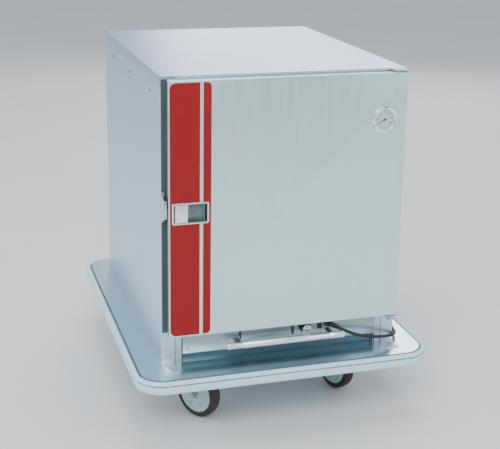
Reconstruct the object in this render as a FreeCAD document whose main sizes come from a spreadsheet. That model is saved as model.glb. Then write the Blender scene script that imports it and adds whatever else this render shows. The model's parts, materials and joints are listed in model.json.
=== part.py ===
"""Heated proofing cabinet on a wheeled, bumpered platform, as a parametric assembly.

Millimetres. +Z is up, +X is the right-hand side as the user faces the door, and +Y is the
back. The origin is on the floor, under the middle of the platform. Every driving dimension
is a cell of the Sizes sheet, and every sub-part is one labelled object of the document.
"""
import FreeCAD, Part
import math
import os
import re

import Sketcher
from FreeCAD import Placement, Rotation, Vector

SIZES = {
    # the platform and what carries it
    "floor_height": 180,  # deck top above the floor
    "platform_width": 756,
    "platform_depth": 892,
    "platform_radius": 70,
    "bumper_height": 33,
    "bumper_nose": 11,  # how far the vinyl strip stands out of its channel
    "channel_depth": 14,
    "deck_thick": 2,
    "tube_high": 32,
    "tube_wide": 34,
    "tube_wall": 2.5,
    "frame_bottom": 146,
    # casters
    "swivel_across": 430,
    "swivel_along": 504,
    "wheel_radius": 63.5,
    "wheel_wide": 32,
    "rim_radius": 49,
    "axle_radius": 5,
    "trail": 36,
    "leg_thick": 3,
    "leg_gap": 19,
    "crown_bottom": 130,
    "running_gap": 0.05,  # radial clearance of a shaft in its bore
    "plate_thick": 4,
    "plate_half_x": 52,
    "plate_half_y": 42,
    "bolt_x": 41,  # the plate's four bolts, from its middle
    "bolt_y": 31,
    "bolt_radius": 4.5,
    "stem_radius": 7,
    "pedal_x": 78,  # the brake pedal's pin, from the swivel
    "pedal_z": 120,
    # cabinet shell
    "body_width": 610,
    "body_depth": 742,
    "body_height": 712,
    "body_front": -348,
    "skin": 1.2,
    "post_wide": 35,
    "frame_deep": 18,
    "cover_drop": 24,
    "rivet_drop": 52,
    "wall_thick": 43,
    "liner_skin": 1,
    "cavity_floor": 278,
    "cavity_roof": 850,
    "cavity_back": 350,
    # pan slides
    "pan_wide": 457,
    "pan_long": 660,
    "slide_pitch": 76,
    "slide_first": 300,
    "slide_ledge": 20,
    "slide_skin": 1.5,
    "upright_wide": 28,
    # door
    "door_width": 586,
    "door_bottom": 266,
    "door_top": 888,
    "door_front": -386,
    "pan_return": 18,
    "inner_inset": 7,
    "inner_depth": 16,
    "gasket_wide": 20,
    "hinge_x": 285,
    "hinge_y": -376,
    "pin_radius": 4,
    # the two vinyl stripes, from the body's left edge
    "wide_near": 15,
    "wide_far": 86,
    "narrow_near": 94,
    "narrow_far": 113,
    # latch
    "latch_x": -241.5,
    "latch_z": 576.5,
    "latch_wide": 89,
    "latch_high": 53,
    "bezel_wide": 5,
    "cup_depth": 14,
    "strike_half": 36,
    # dial thermometer
    "dial_x": 236,
    "dial_z": 775,
    "case_radius": 32.5,
    "glass_radius": 27,
    # heat module
    "module_width": 505,
    "module_bottom": 207,
    "module_top": 264,
    "module_front": -352,
    "module_depth": 420,
    "handle_y": -393,
    "handle_z": 233,
    "handle_radius": 8.5,
    "handle_half": 152,
    "bracket_x": 120,
    "knob_x": 61,
    "knob_z": 247,
    "knob_radius": 15.5,
    "switch_x": 101,
    "switch_z": 246,
    "gland_x": 119,
    "gland_y": -366,
    "gland_z": 254,
    "cord_radius": 4,
}

# Trail directions of the four casters, as angles about +Z, and which of them have a brake.
CASTERS = {
    "front_left": (-1, -1, -54.7, False),
    "front_right": (1, -1, 110.0, False),
    "rear_left": (-1, 1, 62.0, True),
    "rear_right": (1, 1, 118.0, True),
}
SLIDE_LEVELS = 7
RIVETS_ALONG = (111, 366, 615)  # from the body's front edge
NEEDLE_REST = 238  # degrees clockwise from straight up, where the cold needle rests
ROCKER_REST = 8  # the switch lies this far over when it is off

# The cord's route from its strain relief to the hank, chosen by hand, in millimetres.
GLAND_AIM = Vector(0.88, -0.20, -0.43)
GLAND_LENGTH = 34
CORD_ROUTE = [
    (187.7, -381.6, 220.4),
    (234, -382, 211),
    (272, -375, 204.5),
    (304, -357, 199),
    (322, -327, 192),
    (330, -292, 186),
    (340, -256, 184.4),
    (354, -222, 184.4),
    (364.5, -186, 184.4),
]
# The hank is an oval ring of turns that lies along the platform's right-hand ledge.
HANK = {"x": 340, "y": -100, "half_run": 75, "bend": 26, "high": 25, "low": 180.4}

doc = FreeCAD.newDocument("proofing_cabinet")
sheet = doc.addObject("Spreadsheet::Sheet", "Sizes")
for row, (alias, value) in enumerate(SIZES.items(), 1):
    sheet.set(f"A{row}", alias)
    sheet.set(f"B{row}", str(value))
    sheet.setAlias(f"B{row}", alias)
doc.recompute()

ALIAS = re.compile(r"\b(" + "|".join(sorted(SIZES, key=len, reverse=True)) + r")\b")
nodes = []


def bound(text):
    """An expression in the sheet's aliases, as the document writes it."""
    return ALIAS.sub(r"Sizes.\1", str(text))


def value(text):
    """The same expression as a number, worked out in a spare cell of the sheet."""
    sheet.set("D1", f"={text}")
    sheet.recompute()
    return float(sheet.get("D1"))


def place(obj, at, rotation=None):
    if rotation is not None:
        obj.Placement = Placement(Vector(), rotation)
    for axis, text in zip("xyz", at):
        obj.setExpression(f"Placement.Base.{axis}", bound(text))
    return obj


def box(low, high):
    """A block between two corners, each given as three expressions."""
    obj = doc.addObject("Part::Box", "block")
    for side, a, b in zip(("Length", "Width", "Height"), low, high):
        obj.setExpression(side, bound(f"({b}) - ({a})"))
    return place(obj, low)


def cylinder(radius, height, at, along=Vector(0, 0, 1)):
    obj = doc.addObject("Part::Cylinder", "round")
    obj.setExpression("Radius", bound(radius))
    obj.setExpression("Height", bound(height))
    return place(obj, at, Rotation(Vector(0, 0, 1), along))


def cone(radius_1, radius_2, height, at, along=Vector(0, 0, 1)):
    obj = doc.addObject("Part::Cone", "taper")
    obj.setExpression("Radius1", bound(radius_1))
    obj.setExpression("Radius2", bound(radius_2))
    obj.setExpression("Height", bound(height))
    return place(obj, at, Rotation(Vector(0, 0, 1), along))


def fuse(*shapes):
    if len(shapes) == 1:
        return shapes[0]
    obj = doc.addObject("Part::MultiFuse", "joined")
    obj.Shapes = list(shapes)
    obj.Refine = True
    return obj


def cut(base, *tools):
    obj = doc.addObject("Part::Cut", "cut")
    obj.Base = base
    obj.Tool = fuse(*tools)
    return obj


def group(*solids):
    """Separate solids that share one node."""
    obj = doc.addObject("Part::Compound", "group")
    obj.Links = list(solids)
    return obj


def mirrored(shape, normal=Vector(1, 0, 0)):
    obj = doc.addObject("Part::Mirroring", "mirrored")
    obj.Source = shape
    obj.Normal = normal
    return obj


def node(label, obj):
    obj.Label = label
    nodes.append(obj)
    return obj


def profile(body, plane, points):
    """A closed outline in one of the body's own planes, each corner held by two expressions."""
    origin = next(f for f in body.Origin.OriginFeatures if f.Role == plane)
    sketch = body.newObject("Sketcher::SketchObject", "outline")
    sketch.AttachmentSupport = (origin, "")
    sketch.MapMode = "FlatFace"
    at = [Vector(value(a), value(b), 0) for a, b in points]
    for i, start in enumerate(at):
        sketch.addGeometry(Part.LineSegment(start, at[(i + 1) % len(at)]))
    for i, (a, b) in enumerate(points):
        sketch.addConstraint(Sketcher.Constraint("Coincident", i - 1 if i else len(at) - 1, 2, i, 1))
        for kind, text in (("DistanceX", a), ("DistanceY", b)):
            number = sketch.addConstraint(Sketcher.Constraint(kind, i, 1, value(text)))
            sketch.setExpression(f"Constraints[{number}]", bound(text))
    return sketch


def revolved(points):
    """A turned piece: an outline of (radius, height) corners, about the body's own Z."""
    body = doc.addObject("PartDesign::Body", "turned")
    sketch = profile(body, "XZ_Plane", points)
    feature = body.newObject("PartDesign::Revolution", "turn")
    feature.Profile = sketch
    feature.ReferenceAxis = (sketch, ["V_Axis"])
    feature.Angle = 360
    return body


def padded(points, thick):
    """A flat piece: an outline in the body's XY plane, padded up."""
    body = doc.addObject("PartDesign::Body", "plate")
    sketch = profile(body, "XY_Plane", points)
    feature = body.newObject("PartDesign::Pad", "pad")
    feature.Profile = sketch
    feature.setExpression("Length", bound(thick))
    return body


def made(shape):
    """A shape that Part's own functions make, as an object of the document."""
    obj = doc.addObject("Part::Feature", "shape")
    obj.Shape = shape
    return obj


# ------------------------------------------------------------------ platform
def rounded_outline(half_x, half_y, radius):
    """A rectangle with round corners, in the XY plane."""
    edges = []
    corners = [(half_x, -half_y), (half_x, half_y), (-half_x, half_y), (-half_x, -half_y)]
    ends = []
    for i, (x, y) in enumerate(corners):
        centre = Vector(x - math.copysign(radius, x), y - math.copysign(radius, y), 0)
        start = i * math.pi / 2 - math.pi / 2
        turn = [start, start + math.pi / 4, start + math.pi / 2]
        points = [centre + Vector(math.cos(a), math.sin(a), 0) * radius for a in turn]
        edges.append(Part.Arc(*points).toShape())
        ends.append((points[0], points[2]))
    joined = []
    for i, arc in enumerate(edges):
        joined += [arc, Part.LineSegment(ends[i][1], ends[(i + 1) % 4][0]).toShape()]
    return Part.Wire(joined)


def ring_pieces(outline, halves):
    """Eight lengths of one extrusion: four straight, four bent through a quarter turn.

    The outline is a list of (outward, height) corners, measured from the corner centres.
    """
    pieces = []
    for turn, (half_run, centre_out) in enumerate(halves * 2):
        spin = Rotation(Vector(0, 0, 1), turn * 90)
        face = Part.Face(Part.makePolygon([Vector(centre_out + a, -half_run, z) for a, z in outline]))
        straight = face.extrude(Vector(0, 2 * half_run, 0))
        straight.Placement = Placement(Vector(), spin)
        pieces.append(straight)
        arc_face = Part.Face(Part.makePolygon([Vector(a, 0, z) for a, z in outline]))
        bend = arc_face.revolve(Vector(), Vector(0, 0, 1), 90)
        bend.Placement = Placement(spin.multVec(Vector(centre_out, half_run, 0)), spin)
        pieces.append(bend)
    return pieces


def platform():
    rail = "swivel_across/2"
    half_tube = "tube_wide/2"
    top = "frame_bottom+tube_high"
    inside = "platform_width/2-bumper_nose-channel_depth"
    inside_y = "platform_depth/2-bumper_nose-channel_depth"
    tubes = []
    for side in ("-1", "1"):
        middle = f"{side}*{rail}"
        outer = box((f"{middle}-{half_tube}", f"-({inside_y})", "frame_bottom"),
                    (f"{middle}+{half_tube}", inside_y, top))
        bore = box((f"{middle}-{half_tube}+tube_wall", f"-({inside_y})-1", "frame_bottom+tube_wall"),
                   (f"{middle}+{half_tube}-tube_wall", f"{inside_y}+1", f"{top}-tube_wall"))
        tubes.append(cut(outer, bore))
    for along in ("-swivel_along/2", "swivel_along/2"):
        for low, high in ((f"-({inside})", f"-{rail}-{half_tube}"),
                          (f"-{rail}+{half_tube}", f"{rail}-{half_tube}"),
                          (f"{rail}+{half_tube}", inside)):
            outer = box((low, f"{along}-{half_tube}", "frame_bottom"), (high, f"{along}+{half_tube}", top))
            bore = box((f"{low}-1", f"{along}-{half_tube}+tube_wall", "frame_bottom+tube_wall"),
                       (f"{high}+1", f"{along}+{half_tube}-tube_wall", f"{top}-tube_wall"))
            tubes.append(cut(outer, bore))
    node("base_frame", group(*tubes))

    deck_top = value("floor_height")
    deck_thick = value("deck_thick")
    deck_low = deck_top - deck_thick
    depth = value("channel_depth")
    nose = value("bumper_nose")
    radius = value("platform_radius")
    half_x = value("platform_width/2")
    half_y = value("platform_depth/2")
    deck_wire = rounded_outline(half_x - nose - 1, half_y - nose - 1, radius - nose - 1)
    deck_wire.translate(Vector(0, 0, deck_low))
    node("deck_pan", made(Part.Face(deck_wire).extrude(Vector(0, 0, deck_thick))))

    low = deck_top - value("bumper_height")
    inner = radius - nose
    wall = 2.5
    channel = [(inner - depth, deck_low - wall), (inner - depth, deck_low), (inner, deck_low),
               (inner, low), (inner - depth, low), (inner - depth, low + wall),
               (inner - wall, low + wall), (inner - wall, deck_low - wall),
               (inner - depth, deck_low - wall)]
    halves = [(half_y - radius, half_x - radius), (half_x - radius, half_y - radius)]
    node("bumper_channel", made(Part.makeCompound(ring_pieces(channel, halves))))
    belly = 3.5
    strip = [(inner, low), (inner, deck_top), (radius - belly, deck_top), (radius - 1, deck_top - 2),
             (radius, deck_top - 7), (radius, low + 7), (radius - 1, low + 2),
             (radius - belly, low), (inner, low)]
    node("bumper_strip", made(Part.makeCompound(ring_pieces(strip, halves))))


def casters():
    """Four swivel casters: plate, fork with its axle, wheel, tyre, and a brake on the back two."""
    plates = []
    bolts = []
    for name, (side_x, side_y, angle, braked) in CASTERS.items():
        at = (f"{side_x}*swivel_across/2", f"{side_y}*swivel_along/2", "0")
        spin = Rotation(Vector(0, 0, 1), angle)
        x, y = at[0], at[1]
        plate_low = "frame_bottom-plate_thick"
        plate = box((f"{x}-plate_half_x", f"{y}-plate_half_y", plate_low),
                    (f"{x}+plate_half_x", f"{y}+plate_half_y", "frame_bottom"))
        holes = [cylinder("stem_radius+running_gap", "plate_thick+2", (x, y, f"{plate_low}-1"))]
        for centre_x in (f"{x}-bolt_x", f"{x}+bolt_x"):
            for centre_y in (f"{y}-bolt_y", f"{y}+bolt_y"):
                centre = (centre_x, centre_y)
                holes.append(cylinder("bolt_radius+0.1", "plate_thick+2", (*centre, f"{plate_low}-1")))
                shank = cylinder("bolt_radius", "plate_thick", (*centre, plate_low))
                head = cylinder("bolt_radius+3", "5", (*centre, f"{plate_low}-5"))
                bolts.append(fuse(shank, head))
        plates.append(cut(plate, *holes))

        leg_out = "leg_gap+leg_thick"
        outline = [("-26", "crown_bottom-8"), ("22", "wheel_radius-12"), ("50", "wheel_radius-12"),
                   ("50", "wheel_radius+12"), ("38", "crown_bottom"), ("38", "crown_bottom+4"),
                   ("-26", "crown_bottom+4")]
        legs = []
        for low in ("leg_gap", f"-({leg_out})"):
            leg = padded(outline, "leg_thick")
            leg.Placement = Placement(Vector(), Rotation(Vector(1, 0, 0), 90))
            leg.setExpression("Placement.Base.y", bound(f"{low}+leg_thick"))
            legs.append(leg)
        crown = box(("-26", f"-({leg_out})", "crown_bottom"), ("38", leg_out, "crown_bottom+4"))
        race = cone("29", "24", "7.4", ("0", "0", "crown_bottom+4"))
        pin = cylinder("stem_radius", "4.2", ("0", "0", "crown_bottom+11.4"))
        axle = cylinder("axle_radius", "2*leg_gap+2*leg_thick+8",
                        ("trail", "-leg_gap-leg_thick-4", "wheel_radius"), Vector(0, 1, 0))
        nuts = [cylinder("8.5", "5", ("trail", f"{s}*(leg_gap+leg_thick+2.5)-2.5", "wheel_radius"),
                         Vector(0, 1, 0)) for s in ("1", "-1")]
        parts = [crown, race, pin, axle, *legs, *nuts]
        if braked:
            for low in ("leg_gap", f"-({leg_out})"):
                ear = padded([("30", "crown_bottom+4"), ("45", "crown_bottom-28"),
                              ("86", "112"), ("86", "128"), ("60", "crown_bottom+4")], "leg_thick")
                ear.Placement = Placement(Vector(), Rotation(Vector(1, 0, 0), 90))
                ear.setExpression("Placement.Base.y", bound(f"{low}+leg_thick"))
                parts.append(ear)
            bore = cylinder("3+running_gap", "60", ("pedal_x", "-30", "pedal_z"), Vector(0, 1, 0))
            fork = cut(fuse(*parts), bore)
        else:
            fork = fuse(*parts)
        place(fork, at, spin)
        node(f"{name}_fork", fork)

        half = "wheel_wide/2"
        core = revolved([("axle_radius+running_gap", f"-({half})-1.5"), ("14", f"-({half})-1.5"),
                         ("16", f"-({half})+2"), ("38", f"-({half})+5"), ("42", f"-({half})+1"),
                         ("rim_radius", f"-({half})+1"), ("rim_radius", f"{half}-1"),
                         ("42", f"{half}-1"), ("38", f"{half}-5"), ("16", f"{half}-2"),
                         ("14", f"{half}+1.5"), ("axle_radius+running_gap", f"{half}+1.5")])
        tread = revolved([("rim_radius", f"-({half})+2"), ("rim_radius+5", f"-({half})"),
                          ("wheel_radius-4", f"-({half})+2"), ("wheel_radius-0.8", f"-({half})+8"),
                          ("wheel_radius", "0"), ("wheel_radius-0.8", f"{half}-8"),
                          ("wheel_radius-4", f"{half}-2"), ("rim_radius+5", half),
                          ("rim_radius", f"{half}-2")])
        lay = spin.multiply(Rotation(Vector(1, 0, 0), 90))
        centre = (f"{x}+trail*{math.cos(math.radians(angle)):.6f}",
                  f"{y}+trail*{math.sin(math.radians(angle)):.6f}", "wheel_radius")
        node(f"{name}_wheel", place(core, centre, lay))
        node(f"{name}_tyre", place(tread, centre, lay))

        if braked:
            wide = "leg_gap-0.5"
            bar = box(("pedal_x-4", f"-({wide})", "pedal_z-3.5"), ("pedal_x+4", wide, "pedal_z+3.5"))
            tread_plate = box(("pedal_x+2", f"-({wide})", "pedal_z-2"), ("pedal_x+48", wide, "pedal_z+2"))
            lip = box(("pedal_x+44", f"-({wide})", "pedal_z-2"), ("pedal_x+48", wide, "pedal_z+8"))
            shoe = box(("pedal_x+6", "-11", "pedal_z-11.5"), ("pedal_x+12", "11", "pedal_z-1.5"))
            pivot = cylinder("3", "2*leg_gap+2*leg_thick+4",
                             ("pedal_x", "-leg_gap-leg_thick-2", "pedal_z"), Vector(0, 1, 0))
            node(f"{name}_brake_pedal", place(fuse(bar, tread_plate, lip, shoe, pivot), at, spin))
    node("caster_plates", group(*plates))
    node("caster_bolts", group(*bolts))


# ------------------------------------------------------------------ cabinet shell
LEFT = "-body_width/2"
RIGHT = "body_width/2"
BACK = "body_front+body_depth"
TOP = "floor_height+body_height"
SHEET_OUT = "body_width/2-skin"  # outside of the side sheets, under the cover's flange
SHEET_IN = "body_width/2-2*skin"


def shell():
    side = fuse(
        box((SHEET_IN, "body_front", "floor_height"), (SHEET_OUT, BACK, f"{TOP}-skin-0.8")),
        box(("body_width/2-post_wide", "body_front", "floor_height"),
            (SHEET_OUT, "body_front+2*skin", f"{TOP}-skin-0.8")),
        box(("body_width/2-post_wide", f"{BACK}-2*skin", "floor_height"),
            (SHEET_OUT, BACK, f"{TOP}-skin-0.8")))
    node("side_panel_right", side)
    node("side_panel_left", mirrored(side))
    under = f"{TOP}-skin-0.8"
    cover = fuse(
        box((LEFT, "body_front", under), (RIGHT, BACK, TOP)),
        box((LEFT, "body_front", f"{TOP}-cover_drop"), ("-body_width/2+skin", BACK, TOP)),
        box((SHEET_OUT, "body_front", f"{TOP}-cover_drop"), (RIGHT, BACK, TOP)))
    node("top_cover", cover)
    node("back_panel", box(("-body_width/2+post_wide", f"{BACK}-2*skin", "floor_height"),
                           ("body_width/2-post_wide", BACK, under)))

    jamb = "body_width/2-wall_thick"
    front = "body_front"
    deep = "body_front+frame_deep"
    post = "body_width/2-post_wide"
    node("front_frame", group(
        box((f"-({post})", front, "cavity_roof"), (post, deep, under)),
        box((f"-({post})", front, "module_top+1"), (post, deep, "cavity_floor")),
        box((jamb, front, "cavity_floor"), (post, deep, "cavity_roof")),
        box((f"-({post})", front, "cavity_floor"), (f"-({jamb})", deep, "cavity_roof")),
        box(("module_width/2+1", front, "floor_height"), (post, deep, "module_top+1")),
        box((f"-({post})", front, "floor_height"), ("-module_width/2-1", deep, "module_top+1"))))

    runner = "module_width/2"
    bay_back = "body_front+430"
    shelf_low = "module_bottom-3.5"
    shelf_high = "module_bottom-0.3"
    bay_low = "floor_height+2"
    parts = [
        box((f"-({SHEET_IN})", deep, "floor_height"), (SHEET_IN, f"{BACK}-2*skin", bay_low)),
        box((f"-({runner})-1", "body_front+6", "floor_height"), (f"{runner}+1", deep, "module_bottom-2.5")),
        box((f"{runner}-14", deep, shelf_low), (f"{runner}+8", bay_back, shelf_high)),
        box((f"{runner}+8", deep, bay_low), (f"{runner}+10", bay_back, "module_top")),
        box((f"-({runner})-8", deep, shelf_low), (f"-({runner})+14", bay_back, shelf_high)),
        box((f"-({runner})-10", deep, bay_low), (f"-({runner})-8", bay_back, "module_top")),
    ]
    node("module_bay", group(*parts))

    skin = "liner_skin"
    liner_back = f"cavity_back+{skin}"
    roof = f"cavity_roof+{skin}"
    node("cavity_liner", group(
        box((jamb, deep, "cavity_floor"), (f"{jamb}+{skin}", liner_back, "cavity_roof")),
        box((f"-({jamb})-{skin}", deep, "cavity_floor"), (f"-({jamb})", liner_back, "cavity_roof")),
        box((f"-({jamb})-{skin}", deep, f"cavity_floor-{skin}"),
            (f"{jamb}+{skin}", liner_back, "cavity_floor")),
        box((f"-({jamb})-{skin}", deep, "cavity_roof"), (f"{jamb}+{skin}", liner_back, roof)),
        box((f"-({jamb})", "cavity_back", "cavity_floor"), (jamb, liner_back, "cavity_roof"))))
    node("insulation", group(
        box((f"{jamb}+{skin}", deep, bay_low), (SHEET_IN, f"{BACK}-2*skin", under)),
        box((f"-({SHEET_IN})", deep, bay_low), (f"-({jamb})-{skin}", f"{BACK}-2*skin", under)),
        box((f"-({jamb})-{skin}", deep, roof), (f"{jamb}+{skin}", f"{BACK}-2*skin", under)),
        box((f"-({jamb})-{skin}", liner_back, bay_low), (f"{jamb}+{skin}", f"{BACK}-2*skin", roof))))

    rack = []
    wall_x = "pan_wide/2+4"
    for along in ("-1", "1"):
        middle = f"{along}*(pan_long/2-60)"
        outer = box((f"{wall_x}+slide_skin", f"{middle}-upright_wide/2", "cavity_floor"),
                    (jamb, f"{middle}+upright_wide/2", "cavity_roof"))
        hollow = box((f"{wall_x}+3*slide_skin", f"{middle}-upright_wide/2+slide_skin", "cavity_floor-1"),
                     (f"{jamb}+1", f"{middle}+upright_wide/2-slide_skin", "cavity_roof+1"))
        rack.append(cut(outer, hollow))
    for level in range(SLIDE_LEVELS):
        low = f"slide_first+{level}*slide_pitch"
        rack.append(fuse(
            box((wall_x, "-pan_long/2", f"{low}-slide_skin"),
                (f"{wall_x}+slide_skin", "pan_long/2", f"{low}+22")),
            box((f"{wall_x}-slide_ledge", "-pan_long/2", f"{low}-slide_skin"),
                (wall_x, "pan_long/2", low))))
    right = group(*rack)
    node("slide_rack_right", right)
    node("slide_rack_left", mirrored(right))

    toe = []
    for side in ("1", "-1"):
        inner = f"{side}*(body_width/2-17)"
        plate = box((f"{inner}-17", "body_front-45", "floor_height"),
                    (f"{inner}+17", "body_front", "floor_height+3"))
        screw = cylinder("5", "2.5", (inner, "body_front-27", "floor_height+3"))
        toe.append(fuse(plate, screw))
    node("foot_plates", group(*toe))

    heads = []
    for along in RIVETS_ALONG:
        for side in (1, -1):
            at = (f"{side}*({SHEET_OUT})", f"body_front+{along}", f"{TOP}-rivet_drop")
            heads.append(cone("4.5", "2.5", "1.6", at, Vector(side, 0, 0)))
    node("body_rivets", group(*heads))


def hinge_parts():
    """Top and bottom pivot brackets, each with the pin that the door turns on."""
    parts = []
    for low, pin_low, pin_high, tab_low, tab_high in (
            ("door_top+1", "door_top-17", "door_top+2", "door_top-26", "door_top+3.5"),
            ("door_bottom-4", "door_bottom-3", "door_bottom+17", "door_bottom-28", "door_bottom-1.5")):
        plate = box(("hinge_x-25", "hinge_y-8", low), ("hinge_x+14", "body_front", f"{low}+2.5"))
        tab = box(("hinge_x+1", "body_front-2.5", tab_low), ("hinge_x+14", "body_front", tab_high))
        pin = cylinder("pin_radius", f"({pin_high})-({pin_low})", ("hinge_x", "hinge_y", pin_low))
        parts.append(fuse(plate, tab, pin))
    node("hinge_brackets", group(*parts))


# ------------------------------------------------------------------ door
def door():
    half = "door_width/2"
    back = "door_front+pan_return"
    skin = "skin"
    open_x = ("latch_x-latch_wide/2+6", "latch_x+latch_wide/2-6")
    open_z = ("latch_z-latch_high/2+5", "latch_z+latch_high/2-5")
    window = box((open_x[0], "door_front-1", open_z[0]), (open_x[1], f"door_front+{skin}+1", open_z[1]))
    stem_bore = cylinder("3", "70", ("dial_x", "door_front-5", "dial_z"), Vector(0, 1, 0))
    case_bore = cylinder("case_radius-6", "18", ("dial_x", "door_front-1", "dial_z"), Vector(0, 1, 0))
    pins = [cylinder("pin_radius+running_gap", "30", ("hinge_x", "hinge_y", low))
            for low in ("door_top-18", "door_bottom-10")]
    outer = box((f"-({half})", "door_front", "door_bottom"), (half, back, "door_top"))
    hollow = box((f"-({half})+{skin}", f"door_front+{skin}", f"door_bottom+{skin}"),
                 (f"{half}-{skin}", f"{back}+1", f"door_top-{skin}"))
    bolt_slot = box((f"-({half})-1", "body_front-27", "latch_z-9"),
                    (f"-({half})+{skin}+1", "body_front-15", "latch_z+9"))
    bushes = []
    for low, high in (("door_bottom", "door_bottom+18"), ("door_top-18", "door_top")):
        bushes.append(box(("hinge_x-7", "door_front+1", low), ("hinge_x+7.5", back, high)))
    shell_cut = cut(outer, hollow)
    node("door_outer_pan", cut(fuse(shell_cut, *bushes), window, case_bore, bolt_slot, *pins))

    inset = f"({half})-inner_inset"
    inner_back = f"{back}+inner_depth"
    inner_low = "door_bottom+inner_inset"
    inner_high = "door_top-inner_inset"
    inner = box((f"-({inset})", back, inner_low), (inset, inner_back, inner_high))
    inner_hollow = box((f"-({inset})+{skin}", f"{back}-1", f"{inner_low}+{skin}"),
                       (f"{inset}-{skin}", f"{inner_back}-{skin}", f"{inner_high}-{skin}"))
    node("door_inner_pan", cut(inner, inner_hollow, stem_bore))

    gap = 0.4
    foam = box((f"-({inset})+{skin}+{gap}", f"door_front+{skin}", f"{inner_low}+{skin}+{gap}"),
               (f"{inset}-{skin}-9", f"{inner_back}-{skin}", f"{inner_high}-{skin}-{gap}"))
    latch_room = box((f"-({half})", "door_front", "latch_z-latch_high/2-4"),
                     ("latch_x+latch_wide/2+4", f"door_front+{skin}+27", "latch_z+latch_high/2+4"))
    dial_room = cylinder("case_radius-5", "18", ("dial_x", "door_front", "dial_z"), Vector(0, 1, 0))
    node("door_insulation", cut(foam, latch_room, dial_room, stem_bore))

    outer_x = f"({inset})-3"
    inner_x = f"({inset})-3-gasket_wide"
    low = f"{inner_low}+3"
    high = f"{inner_high}-3"
    front = inner_back
    rear = "body_front-0.4"
    node("door_gasket", group(
        box((f"-({outer_x})", front, low), (outer_x, rear, f"{low}+gasket_wide")),
        box((f"-({outer_x})", front, f"{high}-gasket_wide"), (outer_x, rear, high)),
        box((inner_x, front, f"{low}+gasket_wide"), (outer_x, rear, f"{high}-gasket_wide")),
        box((f"-({outer_x})", front, f"{low}+gasket_wide"), (f"-({inner_x})", rear, f"{high}-gasket_wide"))))

    # Two vinyl stripes, each in pieces above, below and beside the latch.
    film = 0.25
    face = f"door_front-{film}"
    stripe_low = "door_bottom+5"
    stripe_high = "door_top-5"
    plate_low = "latch_z-latch_high/2"
    plate_high = "latch_z+latch_high/2"
    stripes = []
    for near, far in (("wide_near", "wide_far"), ("narrow_near", "narrow_far")):
        for low, high in ((stripe_low, plate_low), (plate_high, stripe_high)):
            stripes.append(box((f"{LEFT}+{near}", face, low), (f"{LEFT}+{far}", "door_front", high)))
    node("door_stripes", group(*stripes))


def latch():
    left = "latch_x-latch_wide/2"
    right = "latch_x+latch_wide/2"
    low = "latch_z-latch_high/2"
    high = "latch_z+latch_high/2"
    plate = box((left, "door_front-3", low), (right, "door_front", high))
    tray = box((f"{left}+6", "door_front-1", f"{low}+6"),
               (f"{right}-6", "door_front+cup_depth", f"{high}-6"))
    hollow = box((f"{left}+bezel_wide+2", "door_front-4", f"{low}+bezel_wide+2"),
                 (f"{right}-bezel_wide-2", "door_front+cup_depth-1.2", f"{high}-bezel_wide-2"))
    body = cut(fuse(plate, tray), hollow)
    ribs = []
    for i in range(4):
        start = 6 + 7 * i
        ribs.append(box((f"latch_x+{start}", "door_front+cup_depth-3.5", f"{low}+bezel_wide+2"),
                        (f"latch_x+{start + 2}", "door_front+cup_depth-1.2", f"{high}-bezel_wide-2")))
    pin_bore = cylinder("1.6+running_gap", "60", (f"{left}+10", "door_front+1.5", f"{low}-3"))
    node("latch_housing", cut(fuse(body, *ribs), pin_bore))

    flap = box((f"{left}+10", "door_front-2.2", f"{low}+bezel_wide+3"),
               (f"{left}+39", "door_front-0.4", f"{high}-bezel_wide-3"))
    knuckle = cylinder("2.6", "latch_high-2*bezel_wide-6", (f"{left}+10", "door_front+1.5",
                                                            f"{low}+bezel_wide+3"))
    pull = box((f"{left}+37.5", "door_front-2.2", f"{low}+bezel_wide+3"),
               (f"{left}+39", "door_front+6", f"{high}-bezel_wide-3"))
    pin = cylinder("1.6", "latch_high-11", (f"{left}+10", "door_front+1.5", f"{low}+5.5"))
    node("latch_paddle", fuse(flap, knuckle, pull, pin))

    # The bolt slides behind the cup, in line with the strike beside the door's edge.
    node("latch_bolt", fuse(
        box(("-door_width/2-0.8", "body_front-23.7", "latch_z-7"),
            ("-door_width/2+10", "body_front-20.3", "latch_z+7")),
        box(("-door_width/2+10", "body_front-23.7", "latch_z-5"),
            ("-door_width/2+52", "body_front-20.3", "latch_z+5"))))

    mid = "floor_height+403.5"
    arm = box((f"{LEFT}+2", "body_front-28", f"{mid}-strike_half+8"),
              (f"{LEFT}+4.5", "body_front", f"{mid}+strike_half-8"))
    hook = box((f"{LEFT}+2", "body_front-28", f"{mid}-14"), (f"{LEFT}+10.5", "body_front-24.6", f"{mid}+14"))
    flange = box((f"{LEFT}+2", "body_front-2.5", f"{mid}-strike_half"),
                 (f"{LEFT}+10.5", "body_front", f"{mid}+strike_half"))
    node("latch_strike", fuse(arm, hook, flange))


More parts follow.
